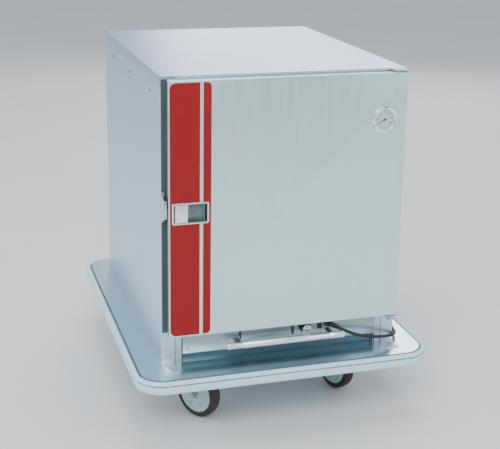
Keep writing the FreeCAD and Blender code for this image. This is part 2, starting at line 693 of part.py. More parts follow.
def thermometer():
    out = Vector(0, 1, 0)
    at = ("dial_x", "door_front-5", "dial_z")
    rim = cylinder("case_radius", "5", at, out)
    body = cylinder("case_radius-6.5", "15", ("dial_x", "door_front-1", "dial_z"), out)
    stem = cylinder("2.9", "38", ("dial_x", "door_front+10", "dial_z"), out)
    well = cylinder("glass_radius-2", "8", ("dial_x", "door_front-6", "dial_z"), out)
    seat = cylinder("glass_radius", "2.5", ("dial_x", "door_front-6", "dial_z"), out)
    node("thermometer_case", cut(fuse(rim, body, stem), well, seat))
    dial = cylinder("glass_radius-2", "1.2", ("dial_x", "door_front+0.8", "dial_z"), out)
    bore = cylinder("1+running_gap", "4", ("dial_x", "door_front-1", "dial_z"), out)
    node("thermometer_dial", cut(dial, bore))
    node("thermometer_lens", cylinder("glass_radius-0.2", "1.2", ("dial_x", "door_front-4.8", "dial_z"), out))
    blade = box(("dial_x-1", "door_front-1.6", "dial_z-5"), ("dial_x+1", "door_front-1", "dial_z+20"))
    hub = cylinder("2.6", "1.4", ("dial_x", "door_front-2", "dial_z"), out)
    pin = cylinder("1", "2.3", ("dial_x", "door_front-0.7", "dial_z"), out)
    needle = fuse(blade, hub, pin)
    doc.recompute()
    shape = needle.Shape.copy()
    centre = Vector(value("dial_x"), value("door_front"), value("dial_z"))
    shape.rotate(centre, Vector(0, 1, 0), NEEDLE_REST)
    node("thermometer_needle", made(shape))
    screws = []
    for angle in (90, 210, 330):
        dx = 29.8 * math.cos(math.radians(angle))
        dz = 29.8 * math.sin(math.radians(angle))
        screws.append(cylinder("2.1", "1", (f"dial_x+{dx:.4f}", "door_front-6", f"dial_z+{dz:.4f}"), out))
    node("thermometer_screws", group(*screws))


# ------------------------------------------------------------------ heat module
def heat_module():
    half = "module_width/2"
    front = "module_front"
    face = f"{front}+2"
    node("control_panel", cut(
        box((f"-({half})", front, "module_bottom"), (half, face, "module_top")),
        cylinder("3+running_gap", "10", ("knob_x", f"{front}-2", "knob_z"), Vector(0, 1, 0)),
        box(("switch_x-5", f"{front}-1", "switch_z-8"), ("switch_x+5", f"{face}+1", "switch_z+8"))))
    outer = box((f"-({half})", face, "module_bottom"), (half, f"{front}+module_depth", "module_top-8"))
    hollow = box((f"-({half})+1.5", f"{face}+1.5", "module_bottom+1.5"),
                 (f"{half}-1.5", f"{front}+module_depth-1.5", "module_top"))
    knob_bore = cylinder("3.2", "10", ("knob_x", front, "knob_z"), Vector(0, 1, 0))
    switch_hole = box(("switch_x-5", front, "switch_z-8"), ("switch_x+5", f"{face}+3", "switch_z+8"))
    node("module_tray", cut(outer, hollow, knob_bore, switch_hole))

    tube_start = ("-handle_half", "handle_y", "handle_z")
    tube = cylinder("handle_radius", "2*handle_half", tube_start, Vector(1, 0, 0))
    arms = []
    for side in ("-1", "1"):
        middle = f"{side}*bracket_x"
        arms.append(cylinder("handle_radius-1.5", "(module_front)-(handle_y)",
                             (middle, "handle_y", "handle_z"), Vector(0, 1, 0)))
        arms.append(cylinder("handle_radius", "3", (middle, "module_front-3", "handle_z"), Vector(0, 1, 0)))
    node("module_handle", fuse(tube, *arms))
    node("nameplate", box((f"{LEFT}+194", f"{front}-1", "floor_height+49"),
                          (f"{LEFT}+338", front, "floor_height+79")))
    knob = revolved([("0", "0"), ("knob_radius", "0"), ("knob_radius", "4"), ("knob_radius-3", "5"),
                     ("knob_radius-4.5", "18"), ("knob_radius-6.5", "20"), ("0", "20")])
    place(knob, ("knob_x", "module_front-1", "knob_z"), Rotation(Vector(0, 0, 1), Vector(0, -1, 0)))
    shaft = cylinder("3", "9", ("knob_x", "module_front-1", "knob_z"), Vector(0, 1, 0))
    node("control_knob", fuse(knob, shaft))
    rocker = cylinder("9.3", "8", ("switch_x-4", f"{front}+4", "switch_z"), Vector(1, 0, 0))
    keep = box(("switch_x-4", f"{front}-4.5", "switch_z-7"), ("switch_x+4", f"{front}+1.5", "switch_z+7"))
    common = doc.addObject("Part::MultiCommon", "rocker")
    common.Shapes = [rocker, keep]
    doc.recompute()
    shape = common.Shape.copy()
    pivot = Vector(value("switch_x"), value(f"{front}+4"), value("switch_z"))
    shape.rotate(pivot, Vector(1, 0, 0), ROCKER_REST)
    node("power_switch", made(shape))
    node("thermostat", box(("knob_x-22", f"{face}+12", "module_bottom+8"),
                           ("knob_x+22", f"{face}+52", "module_top-12")))

    low = value("module_bottom+16")
    rod = 4  # the element's radius
    lane = 40
    lanes = 8
    first = -lane * (lanes - 1) / 2
    near = value("module_front") + 110
    far = value("module_front+module_depth") - 110
    edges = []
    for i in range(lanes):
        x = first + lane * i
        start, end = (near, far) if i % 2 == 0 else (far, near)
        edges.append(Part.LineSegment(Vector(x, start, low), Vector(x, end, low)).toShape())
        if i < lanes - 1:
            swing = lane / 2 if end == far else -lane / 2
            edges.append(Part.Arc(Vector(x, end, low), Vector(x + lane / 2, end + swing, low),
                                  Vector(x + lane, end, low)).toShape())
    path = Part.Wire(edges)
    disc = Part.Wire(Part.makeCircle(rod, Vector(first, near, low), Vector(0, 1, 0)))
    node("heating_element", made(path.makePipeShell([disc], True, True)))
    pan_front = "module_front+340"
    pan = box(("-170", pan_front, "module_bottom+6"), ("170", f"{pan_front}+68", "module_top-14"))
    pan_hollow = box(("-168.5", f"{pan_front}+1.5", "module_bottom+7.5"),
                     ("168.5", f"{pan_front}+66.5", "module_top"))
    node("water_pan", cut(pan, pan_hollow))


def cord():
    """Strain relief, the free stretch of cord as runs and tangent arcs, the hank, and the plug."""
    radius = value("cord_radius")
    root = Vector(value("gland_x"), value("gland_y"), value("gland_z"))
    aim = Vector(GLAND_AIM).normalize()
    boss = cylinder("9.5", "15", ("gland_x", "module_front-15", "gland_z"), Vector(0, 1, 0))
    sleeve = cone("7.5", "5", GLAND_LENGTH, ("gland_x", "gland_y", "gland_z"), aim)
    node("cord_gland", fuse(boss, sleeve))
    points = [root + aim * GLAND_LENGTH] + [Vector(*p) for p in CORD_ROUTE]
    path, length, radii = tangent_path(points)
    first = (points[1] - points[0]).normalize()
    disc = Part.Wire(Part.makeCircle(radius, points[0], first))
    tube = path.makePipeShell([disc], True, False)
    node("power_cord", made(tube))
    section = math.pi * radius ** 2
    print("cord length", round(length, 1), "radii", [round(r) for r in radii],
          "volume ratio", round(tube.Volume / (section * length), 4))

    bend = HANK["bend"]
    half = HANK["half_run"]
    ring = stadium(half, bend + radius).cut(stadium(half, bend - radius))
    ring.translate(Vector(HANK["x"], HANK["y"], HANK["low"]))
    node("cord_hank", made(ring))

    tail_y = HANK["y"] + half + bend + radius
    plug_x = HANK["x"] + 6
    plug_z = HANK["low"] + 12
    relief = cone("4.8", "8", "24", (plug_x, tail_y, plug_z), Vector(0, 1, 0))
    body = box((plug_x - 13, tail_y + 24, HANK["low"]), (plug_x + 13, tail_y + 54, HANK["low"] + 24))
    blades = []
    for across in (-6.35, 6.35):
        blades.append(box((plug_x + across - 0.8, tail_y + 53, plug_z - 3.2),
                          (plug_x + across + 0.8, tail_y + 71, plug_z + 3.2)))
    ground = cylinder("2.4", "20", (plug_x, tail_y + 53, plug_z - 8.5), Vector(0, 1, 0))
    node("plug", fuse(relief, body, ground, *blades))


def stadium(half, radius):
    """An oval prism that stands on z 0, long in Y."""
    high = HANK["high"]
    block = Part.makeBox(2 * radius, 2 * half, high, Vector(-radius, -half, 0))
    ends = [Part.makeCylinder(radius, high, Vector(0, y, 0)) for y in (-half, half)]
    return block.fuse(ends).removeSplitter()


def tangent_path(points):
    """Straight runs joined by tangent arcs, the wire's length, and the arcs' radii."""
    edges = []
    radii = []
    length = 0
    start = points[0]
    for before, corner, after in zip(points, points[1:], points[2:]):
        way_in = (corner - before).normalize()
        way_out = (after - corner).normalize()
        half_turn = way_in.getAngle(way_out) / 2
        reach = 0.45 * min((corner - before).Length, (after - corner).Length)
        radius = reach / math.tan(half_turn)
        arc_start = corner - way_in * reach
        arc_end = corner + way_out * reach
        inward = (way_out - way_in).normalize()
        middle = corner + inward * radius * (1 / math.cos(half_turn) - 1)
        edges.append(Part.LineSegment(start, arc_start).toShape())
        edges.append(Part.Arc(arc_start, middle, arc_end).toShape())
        length += (arc_start - start).Length + radius * 2 * half_turn
        radii.append(radius)
        start = arc_end
    edges.append(Part.LineSegment(start, points[-1]).toShape())
    length += (points[-1] - start).Length
    return Part.Wire(edges), length, radii


def write_parts():
    doc.recompute()
    for obj in doc.Objects:
        if "Invalid" in obj.State or "Error" in obj.State:
            raise RuntimeError(f"{obj.Label} ({obj.Name}) failed: {obj.State}")
    os.makedirs("parts", exist_ok=True)
    for old in os.listdir("parts"):
        os.remove(os.path.join("parts", old))
    for obj in nodes:
        shape = obj.Shape
        if shape.isNull() or not shape.isValid() or not shape.Solids:
            raise RuntimeError(f"{obj.Label} has no valid solid")
        shape.exportStep(f"parts/{obj.Label}.step")
        box_of = shape.BoundBox
        print(f"{obj.Label:28s} {len(shape.Solids):3d} solids  {shape.Volume / 1000:10.1f} cm3 "
              f" x {box_of.XMin:7.1f} {box_of.XMax:7.1f}  y {box_of.YMin:7.1f} {box_of.YMax:7.1f} "
              f" z {box_of.ZMin:7.1f} {box_of.ZMax:7.1f}")
    print(len(nodes), "nodes")


platform()
casters()
shell()
hinge_parts()
door()
latch()
thermometer()
heat_module()
cord()
write_parts()
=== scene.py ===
"""Looks of the heated proofing cabinet. Metres; +X is the user's right, +Y the back, +Z up."""
import json
import math

import bmesh
import bpy
from mathutils import Matrix, Vector


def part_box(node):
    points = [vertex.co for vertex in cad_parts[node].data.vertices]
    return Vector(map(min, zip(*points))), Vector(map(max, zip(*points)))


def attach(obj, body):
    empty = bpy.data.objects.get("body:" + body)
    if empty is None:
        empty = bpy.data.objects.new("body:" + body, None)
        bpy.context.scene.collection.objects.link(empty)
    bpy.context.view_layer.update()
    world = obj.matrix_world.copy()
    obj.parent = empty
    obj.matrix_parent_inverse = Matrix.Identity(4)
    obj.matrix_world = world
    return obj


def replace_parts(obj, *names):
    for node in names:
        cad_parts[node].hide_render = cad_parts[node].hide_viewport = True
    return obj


MM = 0.001
SHEET = 1.2 * MM  # the shell's steel sheet
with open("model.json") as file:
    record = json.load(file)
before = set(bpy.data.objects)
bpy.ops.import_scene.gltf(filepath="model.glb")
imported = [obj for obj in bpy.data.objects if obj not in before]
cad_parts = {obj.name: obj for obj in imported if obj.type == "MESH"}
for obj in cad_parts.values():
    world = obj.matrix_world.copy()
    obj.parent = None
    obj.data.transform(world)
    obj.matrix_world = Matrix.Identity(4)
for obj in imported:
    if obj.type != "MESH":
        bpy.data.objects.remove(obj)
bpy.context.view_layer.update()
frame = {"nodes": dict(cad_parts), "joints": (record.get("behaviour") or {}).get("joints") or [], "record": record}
record = frame["record"]
nodes = frame["nodes"]
joints = {j["name"]: j for j in frame["joints"]}
scene = bpy.context.scene

X, Y, Z = Vector((1, 0, 0)), Vector((0, 1, 0)), Vector((0, 0, 1))


# ---------------------------------------------------------------- camera
IMAGE_WIDTH = 500
FOCAL_PIXELS = 1084
SENSOR = 36.0
CAMERA_PLACE = Vector((-0.811, -2.717, 1.336))
YAW, PITCH, ROLL = 17.00, 16.02, 0.96
SHIFT_Y = -0.08


def make_camera():
    """Looks at the cabinet from its front left, a little above the top."""
    data = bpy.data.cameras.new("camera")
    data.sensor_width = SENSOR
    data.lens = FOCAL_PIXELS * SENSOR / IMAGE_WIDTH
    data.shift_y = SHIFT_Y
    camera = bpy.data.objects.new("camera", data)
    scene.collection.objects.link(camera)
    aim = Matrix.Rotation(math.radians(-YAW), 4, "Z") @ Matrix.Rotation(math.radians(90 - PITCH), 4, "X")
    roll = Matrix.Rotation(math.radians(ROLL), 4, "Z")
    camera.matrix_world = Matrix.Translation(CAMERA_PLACE) @ aim @ roll
    scene.camera = camera


make_camera()


# ---------------------------------------------------------------- materials
class Shader:
    """A Principled material with a few short calls for its nodes."""

    def __init__(self, name, color, metallic=0.0, roughness=0.5, **uniform):
        self.material = bpy.data.materials.new(name)
        self.material.use_nodes = True
        self.tree = self.material.node_tree
        self.main = self.tree.nodes["Principled BSDF"]
        self.color = (*color, 1)
        self.main.inputs["Base Color"].default_value = self.color
        self.main.inputs["Metallic"].default_value = metallic
        self.main.inputs["Roughness"].default_value = roughness
        for key, value in uniform.items():
            self.main.inputs[key.replace("_", " ")].default_value = value
        self.place = self.add("ShaderNodeTexCoord").outputs["Object"]

    def add(self, kind, **settings):
        made = self.tree.nodes.new(kind)
        for key, value in settings.items():
            setattr(made, key, value)
        return made

    def link(self, output, target):
        self.tree.links.new(output, target)

    def noise(self, scale, detail=4, stretch=(1, 1, 1), roughness=0.5):
        mapping = self.add("ShaderNodeMapping")
        mapping.inputs["Scale"].default_value = stretch
        self.link(self.place, mapping.inputs["Vector"])
        node = self.add("ShaderNodeTexNoise")
        node.inputs["Scale"].default_value = scale
        node.inputs["Detail"].default_value = detail
        node.inputs["Roughness"].default_value = roughness
        self.link(mapping.outputs["Vector"], node.inputs["Vector"])
        return node.outputs["Fac"]

    def ranged(self, source, low, high, start=0.3, end=0.7):
        node = self.add("ShaderNodeMapRange")
        for key, value in (("From Min", start), ("From Max", end), ("To Min", low), ("To Max", high)):
            node.inputs[key].default_value = value
        self.link(source, node.inputs["Value"])
        return node.outputs["Result"]

    def vary_color(self, source, dark, light, start=0.3, end=0.7):
        ramp = self.add("ShaderNodeValToRGB")
        first, last = ramp.color_ramp.elements
        first.position, last.position = start, end
        first.color = (*[c * dark for c in self.color[:3]], 1)
        last.color = (*[min(1, c * light) for c in self.color[:3]], 1)
        self.link(source, ramp.inputs["Fac"])
        self.link(ramp.outputs["Color"], self.main.inputs["Base Color"])

    def vary_roughness(self, source, low, high):
        self.link(self.ranged(source, low, high), self.main.inputs["Roughness"])

    def bump(self, source, height, strength=1.0):
        node = self.add("ShaderNodeBump")
        node.inputs["Strength"].default_value = strength
        node.inputs["Distance"].default_value = height
        self.link(source, node.inputs["Height"])
        self.link(node.outputs["Normal"], self.main.inputs["Normal"])


def brushed(name, color, along, roughness=0.34, spread=0.07, contrast=0.05, grain=900):
    """Stainless sheet with its grain along one axis."""
    shader = Shader(name, color, metallic=1.0, roughness=roughness)
    stretch = [1.0, 1.0, 1.0]
    stretch["xyz".index(along)] = 0.012
    streaks = shader.noise(grain, detail=3, stretch=stretch, roughness=0.6)
    clouds = shader.noise(2.2, detail=2)
    shader.vary_color(streaks, 1 - contrast, 1 + contrast)
    mix = shader.add("ShaderNodeMath", operation="MULTIPLY")
    shader.link(streaks, mix.inputs[0])
    shader.link(shader.ranged(clouds, 0.85, 1.15), mix.inputs[1])
    shader.vary_roughness(mix.outputs["Value"], roughness - spread, roughness + spread)
    shader.bump(streaks, 0.00004, 0.35)
    return shader.material


def moulded(name, color, roughness=0.5, grain=1400, height=0.00005, contrast=0.08, **uniform):
    """Moulded plastic or rubber with a fine texture and slight mottling."""
    shader = Shader(name, color, roughness=roughness, **uniform)
    fine = shader.noise(grain, detail=2)
    broad = shader.noise(18, detail=3)
    shader.vary_color(broad, 1 - contrast, 1 + contrast)
    shader.vary_roughness(broad, roughness - 0.07, roughness + 0.07)
    shader.bump(fine, height, 0.5)
    return shader.material


def plated(name, color, roughness=0.18, cloud=60):
    """Bright plating with faint clouding."""
    shader = Shader(name, color, metallic=1.0, roughness=roughness)
    clouds = shader.noise(cloud, detail=4)
    shader.vary_color(clouds, 0.95, 1.04)
    shader.vary_roughness(clouds, roughness - 0.05, roughness + 0.08)
    shader.bump(shader.noise(300, detail=2), 0.00002, 0.3)
    return shader.material


def glass(name):
    shader = Shader(name, (0.96, 0.98, 1.0), roughness=0.03, Transmission_Weight=1.0, IOR=1.45)
    shader.main.inputs["Alpha"].default_value = 0.35
    smear = shader.noise(40, detail=3)
    shader.vary_roughness(smear, 0.02, 0.07)
    return shader.material


def look(maker, *values, **options):
    """An entry of the table below, which makes its material once given the name."""
    return lambda name: maker(name, *values, **options)


LOOKS = {
    # The door, side, top, frame and deck steels are one stainless given a tint and brightness per face: painted
    # light, shade and blue reflection.
    "stainless_door": look(brushed, (0.66, 0.88, 0.885), "z", 0.42),
    "stainless_side": look(brushed, (0.55, 0.73, 0.90), "y", 0.40),
    "stainless_top": look(brushed, (0.57, 0.69, 0.90), "y", 0.36),
    "stainless_frame": look(brushed, (0.56, 0.68, 0.70), "z", 0.36),
    # A darkened copy of the frame steel for the module face: painted shade under the door.
    "panel_shade_steel": look(brushed, (0.33, 0.44, 0.46), "x", 0.36),
    # A darker copy of the steel for the door's side faces: painted shade.
    "door_side_shade": look(brushed, (0.26, 0.34, 0.36), "z", 0.42),
    "deck_steel": look(brushed, (0.72, 0.89, 1.0), "x", 0.23, spread=0.04, contrast=0.03),
    # A darkened steel for the plate over the base rail: painted shade.
    "kick_shade_steel": look(brushed, (0.09, 0.155, 0.175), "x", 0.38),
    "liner_steel": look(brushed, (0.55, 0.57, 0.58), "z", 0.33),
    "handle_steel": look(plated, (0.94, 0.99, 1.0), 0.36),
    "dial_steel": look(plated, (0.90, 0.95, 0.97), 0.30),
    "rivet_grey": look(plated, (0.12, 0.15, 0.16), 0.42),
    "chrome_trim": look(plated, (0.76, 0.81, 0.84), 0.14),
    "foot_steel": look(plated, (0.90, 0.93, 0.95), 0.38),
    "zinc_plate": look(plated, (0.42, 0.46, 0.47), 0.34),
    "aluminium_channel": look(brushed, (0.62, 0.66, 0.69), "x", 0.42),
    "welded_steel": look(moulded, (0.33, 0.35, 0.37), 0.5, grain=300, height=0.0001),
    "bumper_vinyl": look(moulded, (0.62, 0.84, 0.98), 0.42, grain=900, height=0.00003, contrast=0.04,
        Specular_IOR_Level=0.5),
    "hub_plastic": look(moulded, (0.42, 0.61, 0.60), 0.36),
    "wheel_tread": look(moulded, (0.035, 0.014, 0.020), 0.5, grain=700, height=0.00012),
    "brake_red": look(moulded, (0.05, 0.05, 0.055), 0.5),
    "gasket_rubber": look(moulded, (0.030, 0.045, 0.050), 0.6),
    # Dark strips beside the door: painted shade and dark reflection.
    "jamb_strip": look(moulded, (0.055, 0.085, 0.088), 0.5),
    "seam_dark": look(moulded, (0.022, 0.032, 0.038), 0.55),
    # A dark fill for the bumper groove and the deck gap: painted shade.
    "gap_shade": look(moulded, (0.06, 0.13, 0.15), 0.55),
    "red_vinyl": look(moulded, (0.30, 0.012, 0.014), 0.38, grain=500, height=0.00002, contrast=0.03,
        Specular_IOR_Level=0.22),
    "dial_face": look(moulded, (0.56, 0.80, 0.85), 0.4, grain=600, height=0.00001),
    "dial_glass": look(glass),
    "needle_black": look(moulded, (0.03, 0.036, 0.04), 0.4),
    "plate_grey": look(brushed, (0.26, 0.32, 0.34), "x", 0.40),
    "plate_edge": look(moulded, (0.05, 0.06, 0.065), 0.45),
    "element_steel": look(moulded, (0.09, 0.08, 0.075), 0.55),
    "black_plastic": look(moulded, (0.018, 0.018, 0.02), 0.42),
    "cord_rubber": look(moulded, (0.014, 0.014, 0.016), 0.48),
    "knob_silver": look(brushed, (0.70, 0.74, 0.76), "z", 0.28),
    "glass_wool": look(moulded, (0.55, 0.47, 0.20), 0.9, grain=150, height=0.001, contrast=0.2),
    # A darkened steel for the latch cup: painted shade.
    "cup_shade_steel": look(brushed, (0.22, 0.31, 0.32), "z", 0.38),
}
MAT = {name: make(name) for name, make in LOOKS.items()}
slot_of = {s["node"]: s["material_slot"] for s in record["subparts"]}
for name, node in nodes.items():
    node.data.materials.clear()
    node.data.materials.append(MAT[slot_of[name]])


# ---------------------------------------------------------------- building tools
def as_object(name, mesh, material, body, slot=None, smooth=True, sharp=35):
    obj = bpy.data.objects.new(name, mesh)
    scene.collection.objects.link(obj)
    if material:
        mesh.materials.append(MAT[material])
    if smooth:
        mesh.shade_smooth()
        mesh.set_sharp_from_angle(angle=math.radians(sharp))
    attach(obj, body)
    slot = slot or material
    return obj


def from_bmesh(name, bm, material, body, slot=None, sharp=35):
    bmesh.ops.recalc_face_normals(bm, faces=bm.faces)
    mesh = bpy.data.meshes.new(name)
    bm.to_mesh(mesh)
    bm.free()
    return as_object(name, mesh, material, body, slot, sharp=sharp)


def add_block(bm, low, high, bevel=0.0, segments=3, matrix=None, edges=None):
    """A block with rounded edges; edges(direction) picks which ones, and all are by default."""
    low, high = Vector(low), Vector(high)
    made = bmesh.ops.create_cube(bm, size=1.0)["verts"]
    for v in made:
        v.co = Vector([low[i] + (v.co[i] + 0.5) * (high[i] - low[i]) for i in range(3)])
    if bevel:
        wanted = {e for v in made for e in v.link_edges}
        if edges:
            wanted = {e for e in wanted if edges((e.verts[1].co - e.verts[0].co).normalized())}
        before = set(bm.verts) - set(made)
        bmesh.ops.bevel(bm, geom=list(wanted), offset=bevel, segments=segments, profile=0.5, affect="EDGES")
        made = [v for v in bm.verts if v not in before]
    if matrix is not None:
        bmesh.ops.transform(bm, matrix=matrix, verts=made)
    return made


def block(name, low, high, bevel, material, body, segments=3, **extra):
    bm = bmesh.new()
    add_block(bm, low, high, bevel, segments)
    return from_bmesh(name, bm, material, body, **extra)


def along(axis, at):
    """A matrix that takes local Z to axis and the local origin to at."""
    return Matrix.Translation(Vector(at)) @ Vector(axis).to_track_quat("Z", "Y").to_matrix().to_4x4()


def mm(pairs):
    """Pairs in millimetres as pairs in metres."""
    return [(a * MM, b * MM) for a, b in pairs]


def mm3(triples):
    """Triples in millimetres as triples in metres."""
    return [(a * MM, b * MM, c * MM) for a, b, c in triples]


def join_rows(bm, rows, closed=False):
    """Faces between rows of as many points each; closed joins the last row to the first."""
    count = len(rows[0])
    for one, two in zip(rows, rows[1:] + rows[:1] if closed else rows[1:]):
        for k in range(count):
            n = (k + 1) % count
            bm.faces.new([one[k], one[n], two[n], two[k]])


def add_lathe(bm, outline, matrix, segments=64, closed=False):
    """Turns a list of (radius, height) corners about local Z."""
    rings = []
    for radius, height in outline:
        if radius < 1e-7:
            rings.append([bm.verts.new(matrix @ Vector((0, 0, height)))])
            continue
        ring = []
        for i in range(segments):
            a = 2 * math.pi * i / segments
            ring.append(bm.verts.new(matrix @ Vector((radius * math.cos(a), radius * math.sin(a), height))))
        rings.append(ring)
    pairs = list(zip(rings, rings[1:])) + ([(rings[-1], rings[0])] if closed else [])
    for one, two in pairs:
        for i in range(segments):
            j = (i + 1) % segments
            corners = [one[i % len(one)], one[j % len(one)], two[j % len(two)], two[i % len(two)]]
            unique = [v for k, v in enumerate(corners) if v not in corners[:k]]
            if len(unique) > 2:
                bm.faces.new(unique)


def lathe(name, outline, matrix, material, body, segments=64, closed=False, **extra):
    bm = bmesh.new()
    add_lathe(bm, outline, matrix, segments, closed)
    return from_bmesh(name, bm, material, body, **extra)


def rounded_polygon(corners, steps=6):
    """An outline from (x, y, radius) corners."""
    points = []
    for i, (x, y, radius) in enumerate(corners):
        corner = Vector((x, y))
        if radius <= 0:
            points.append(corner)
            continue
        back = (Vector(corners[i - 1][:2]) - corner).normalized()
        ahead = (Vector(corners[(i + 1) % len(corners)][:2]) - corner).normalized()
        half = back.angle(ahead) / 2
        centre = corner + (back + ahead).normalized() * radius / math.sin(half)
        start = (corner + back * radius / math.tan(half) - centre).normalized()
        end = (corner + ahead * radius / math.tan(half) - centre).normalized()
        points += [centre + start.slerp(end, k / steps) * radius for k in range(steps + 1)]
    return points


def rounded(width, height, radius, steps=6):
    """A rounded rectangle about the origin, anticlockwise."""
    w, h = width / 2, height / 2
    return rounded_polygon([(w, -h, radius), (w, h, radius), (-w, h, radius), (-w, -h, radius)], steps)


def rounded_box(low_x, low_y, high_x, high_y, radius, steps=6):
    return rounded_polygon([(high_x, low_y, radius), (high_x, high_y, radius), (low_x, high_y, radius),
        (low_x, low_y, radius)], steps)


def front(x, y, z):
    """A matrix that looks out of the front: local X right, local Y up, local Z towards the user."""
    return Matrix.Translation((x, y, z)) @ Matrix.Rotation(math.pi / 2, 4, "X")


def add_prism(bm, outline, low, high, matrix, bevel=0.0, segments=2):
    """A flat outline given thickness along local Z, with its two rims rounded."""
    bottom = [bm.verts.new(Vector((p[0], p[1], low))) for p in outline]
    top = [bm.verts.new(Vector((p[0], p[1], high))) for p in outline]
    faces = [bm.faces.new(list(reversed(bottom))), bm.faces.new(top)]
    for i in range(len(outline)):
        j = (i + 1) % len(outline)
        bm.faces.new([bottom[i], bottom[j], top[j], top[i]])
    made = bottom + top
    if bevel:
        rims = list({e for f in faces for e in f.edges})
        before = set(bm.verts) - set(made)
        bmesh.ops.bevel(bm, geom=rims, offset=bevel, segments=segments, profile=0.5, affect="EDGES")
        made = [v for v in bm.verts if v not in before]
    bmesh.ops.transform(bm, matrix=matrix, verts=made)


def prism(name, outline, low, high, matrix, material, body, bevel=0.0, **extra):
    bm = bmesh.new()
    add_prism(bm, outline, low, high, matrix, bevel)
    return from_bmesh(name, bm, material, body, **extra)


def ring(width, height, radius, steps=8):
    """Stations round a rounded rectangle: each corner's centre and the way out from it."""
    stations = []
    for cx, cy, start in ((1, -1, -90), (1, 1, 0), (-1, 1, 90), (-1, -1, 180)):
        centre = Vector((cx * (width / 2 - radius), cy * (height / 2 - radius), 0))
        for i in range(steps + 1):
            a = math.radians(start + 90 * i / steps)
            stations.append((centre, Vector((math.cos(a), math.sin(a), 0))))
    return stations


def swept(name, section, stations, matrix, material, body, **extra):
    """Carries a closed section of (outward, up) corners, in mm, round a ring of stations."""
    bm = bmesh.new()
    rows = [[bm.verts.new(matrix @ (p + out * a * MM + Z * b * MM)) for a, b in section] for p,
        out in stations]
    join_rows(bm, rows, closed=True)
    return from_bmesh(name, bm, material, body, **extra)


def bent(path, fold, steps=5):
    """An open line with its inner corners rounded to the fold's radius."""
    corners = [(*path[0], 0)] + [(*p, fold) for p in path[1:-1]] + [(*path[-1], 0)]
    return rounded_polygon(corners, steps)


def upright(x, y, h):
    """Lifts a line drawn in plan."""
    return Vector((x, y, h))


def lengthways(x, z, h):
    """Carries a line drawn on the front towards the back."""
    return Vector((x, h, z))


def add_ribbon(bm, line, thick, low, high, lift):
    """A line given thickness to its left and carried from low to high; lift(x, y, h) places it."""
    rows = []
    for i, point in enumerate(line):
        way = (line[min(i + 1, len(line) - 1)] - line[max(i - 1, 0)]).normalized()
        inner = point + Vector((-way.y, way.x)) * thick
        edges = ((point, low), (point, high), (inner, high), (inner, low))
        rows.append([bm.verts.new(lift(p.x, p.y, h)) for p, h in edges])
    join_rows(bm, rows)
    bm.faces.new(rows[0])
    bm.faces.new(rows[-1])


def ribbon(name, line, thick, low, high, lift, material, body, **extra):
    bm = bmesh.new()
    add_ribbon(bm, line, thick, low, high, lift)
    return from_bmesh(name, bm, material, body, **extra)


def cut_away(target, tool_maker):
    """Cuts a hole by a boolean with a throwaway block or disc, and applies it."""
    bm = bmesh.new()
    tool_maker(bm)
    bmesh.ops.recalc_face_normals(bm, faces=bm.faces)
    mesh = bpy.data.meshes.new("tool")
    bm.to_mesh(mesh)
    bm.free()
    tool = bpy.data.objects.new("tool", mesh)
    scene.collection.objects.link(tool)
    modifier = target.modifiers.new("cut", "BOOLEAN")
    modifier.operation = "DIFFERENCE"
    modifier.object = tool
    modifier.solver = "EXACT"
    bpy.context.view_layer.update()
    graph = bpy.context.evaluated_depsgraph_get()
    result = bpy.data.meshes.new_from_object(target.evaluated_get(graph))
    target.modifiers.clear()
    old = target.data
    target.data = result
    bpy.data.objects.remove(tool)
    bpy.data.meshes.remove(old)
    result.set_sharp_from_angle(angle=math.radians(35))


def add_screw(bm, at, axis, radius=3.4 * MM, head=2.0 * MM):
    """A pan-head cross-recess screw, standing along axis."""
    place = along(axis, at)
    dome = [(radius, 0), (radius, head * 0.35), (radius * 0.88, head * 0.7), (radius * 0.6, head * 0.93),
        (radius * 0.30, head), (radius * 0.22, head * 0.55), (0, head * 0.5)]
    add_lathe(bm, dome, place, 20)


def hexagon(across):
    """The outline of a bolt head or nut, from its width across flats."""
    corner = across / math.sqrt(3)
    return [Vector((corner * math.cos(a), corner * math.sin(a))) for a in (math.pi / 3 * i for i in range(6))]


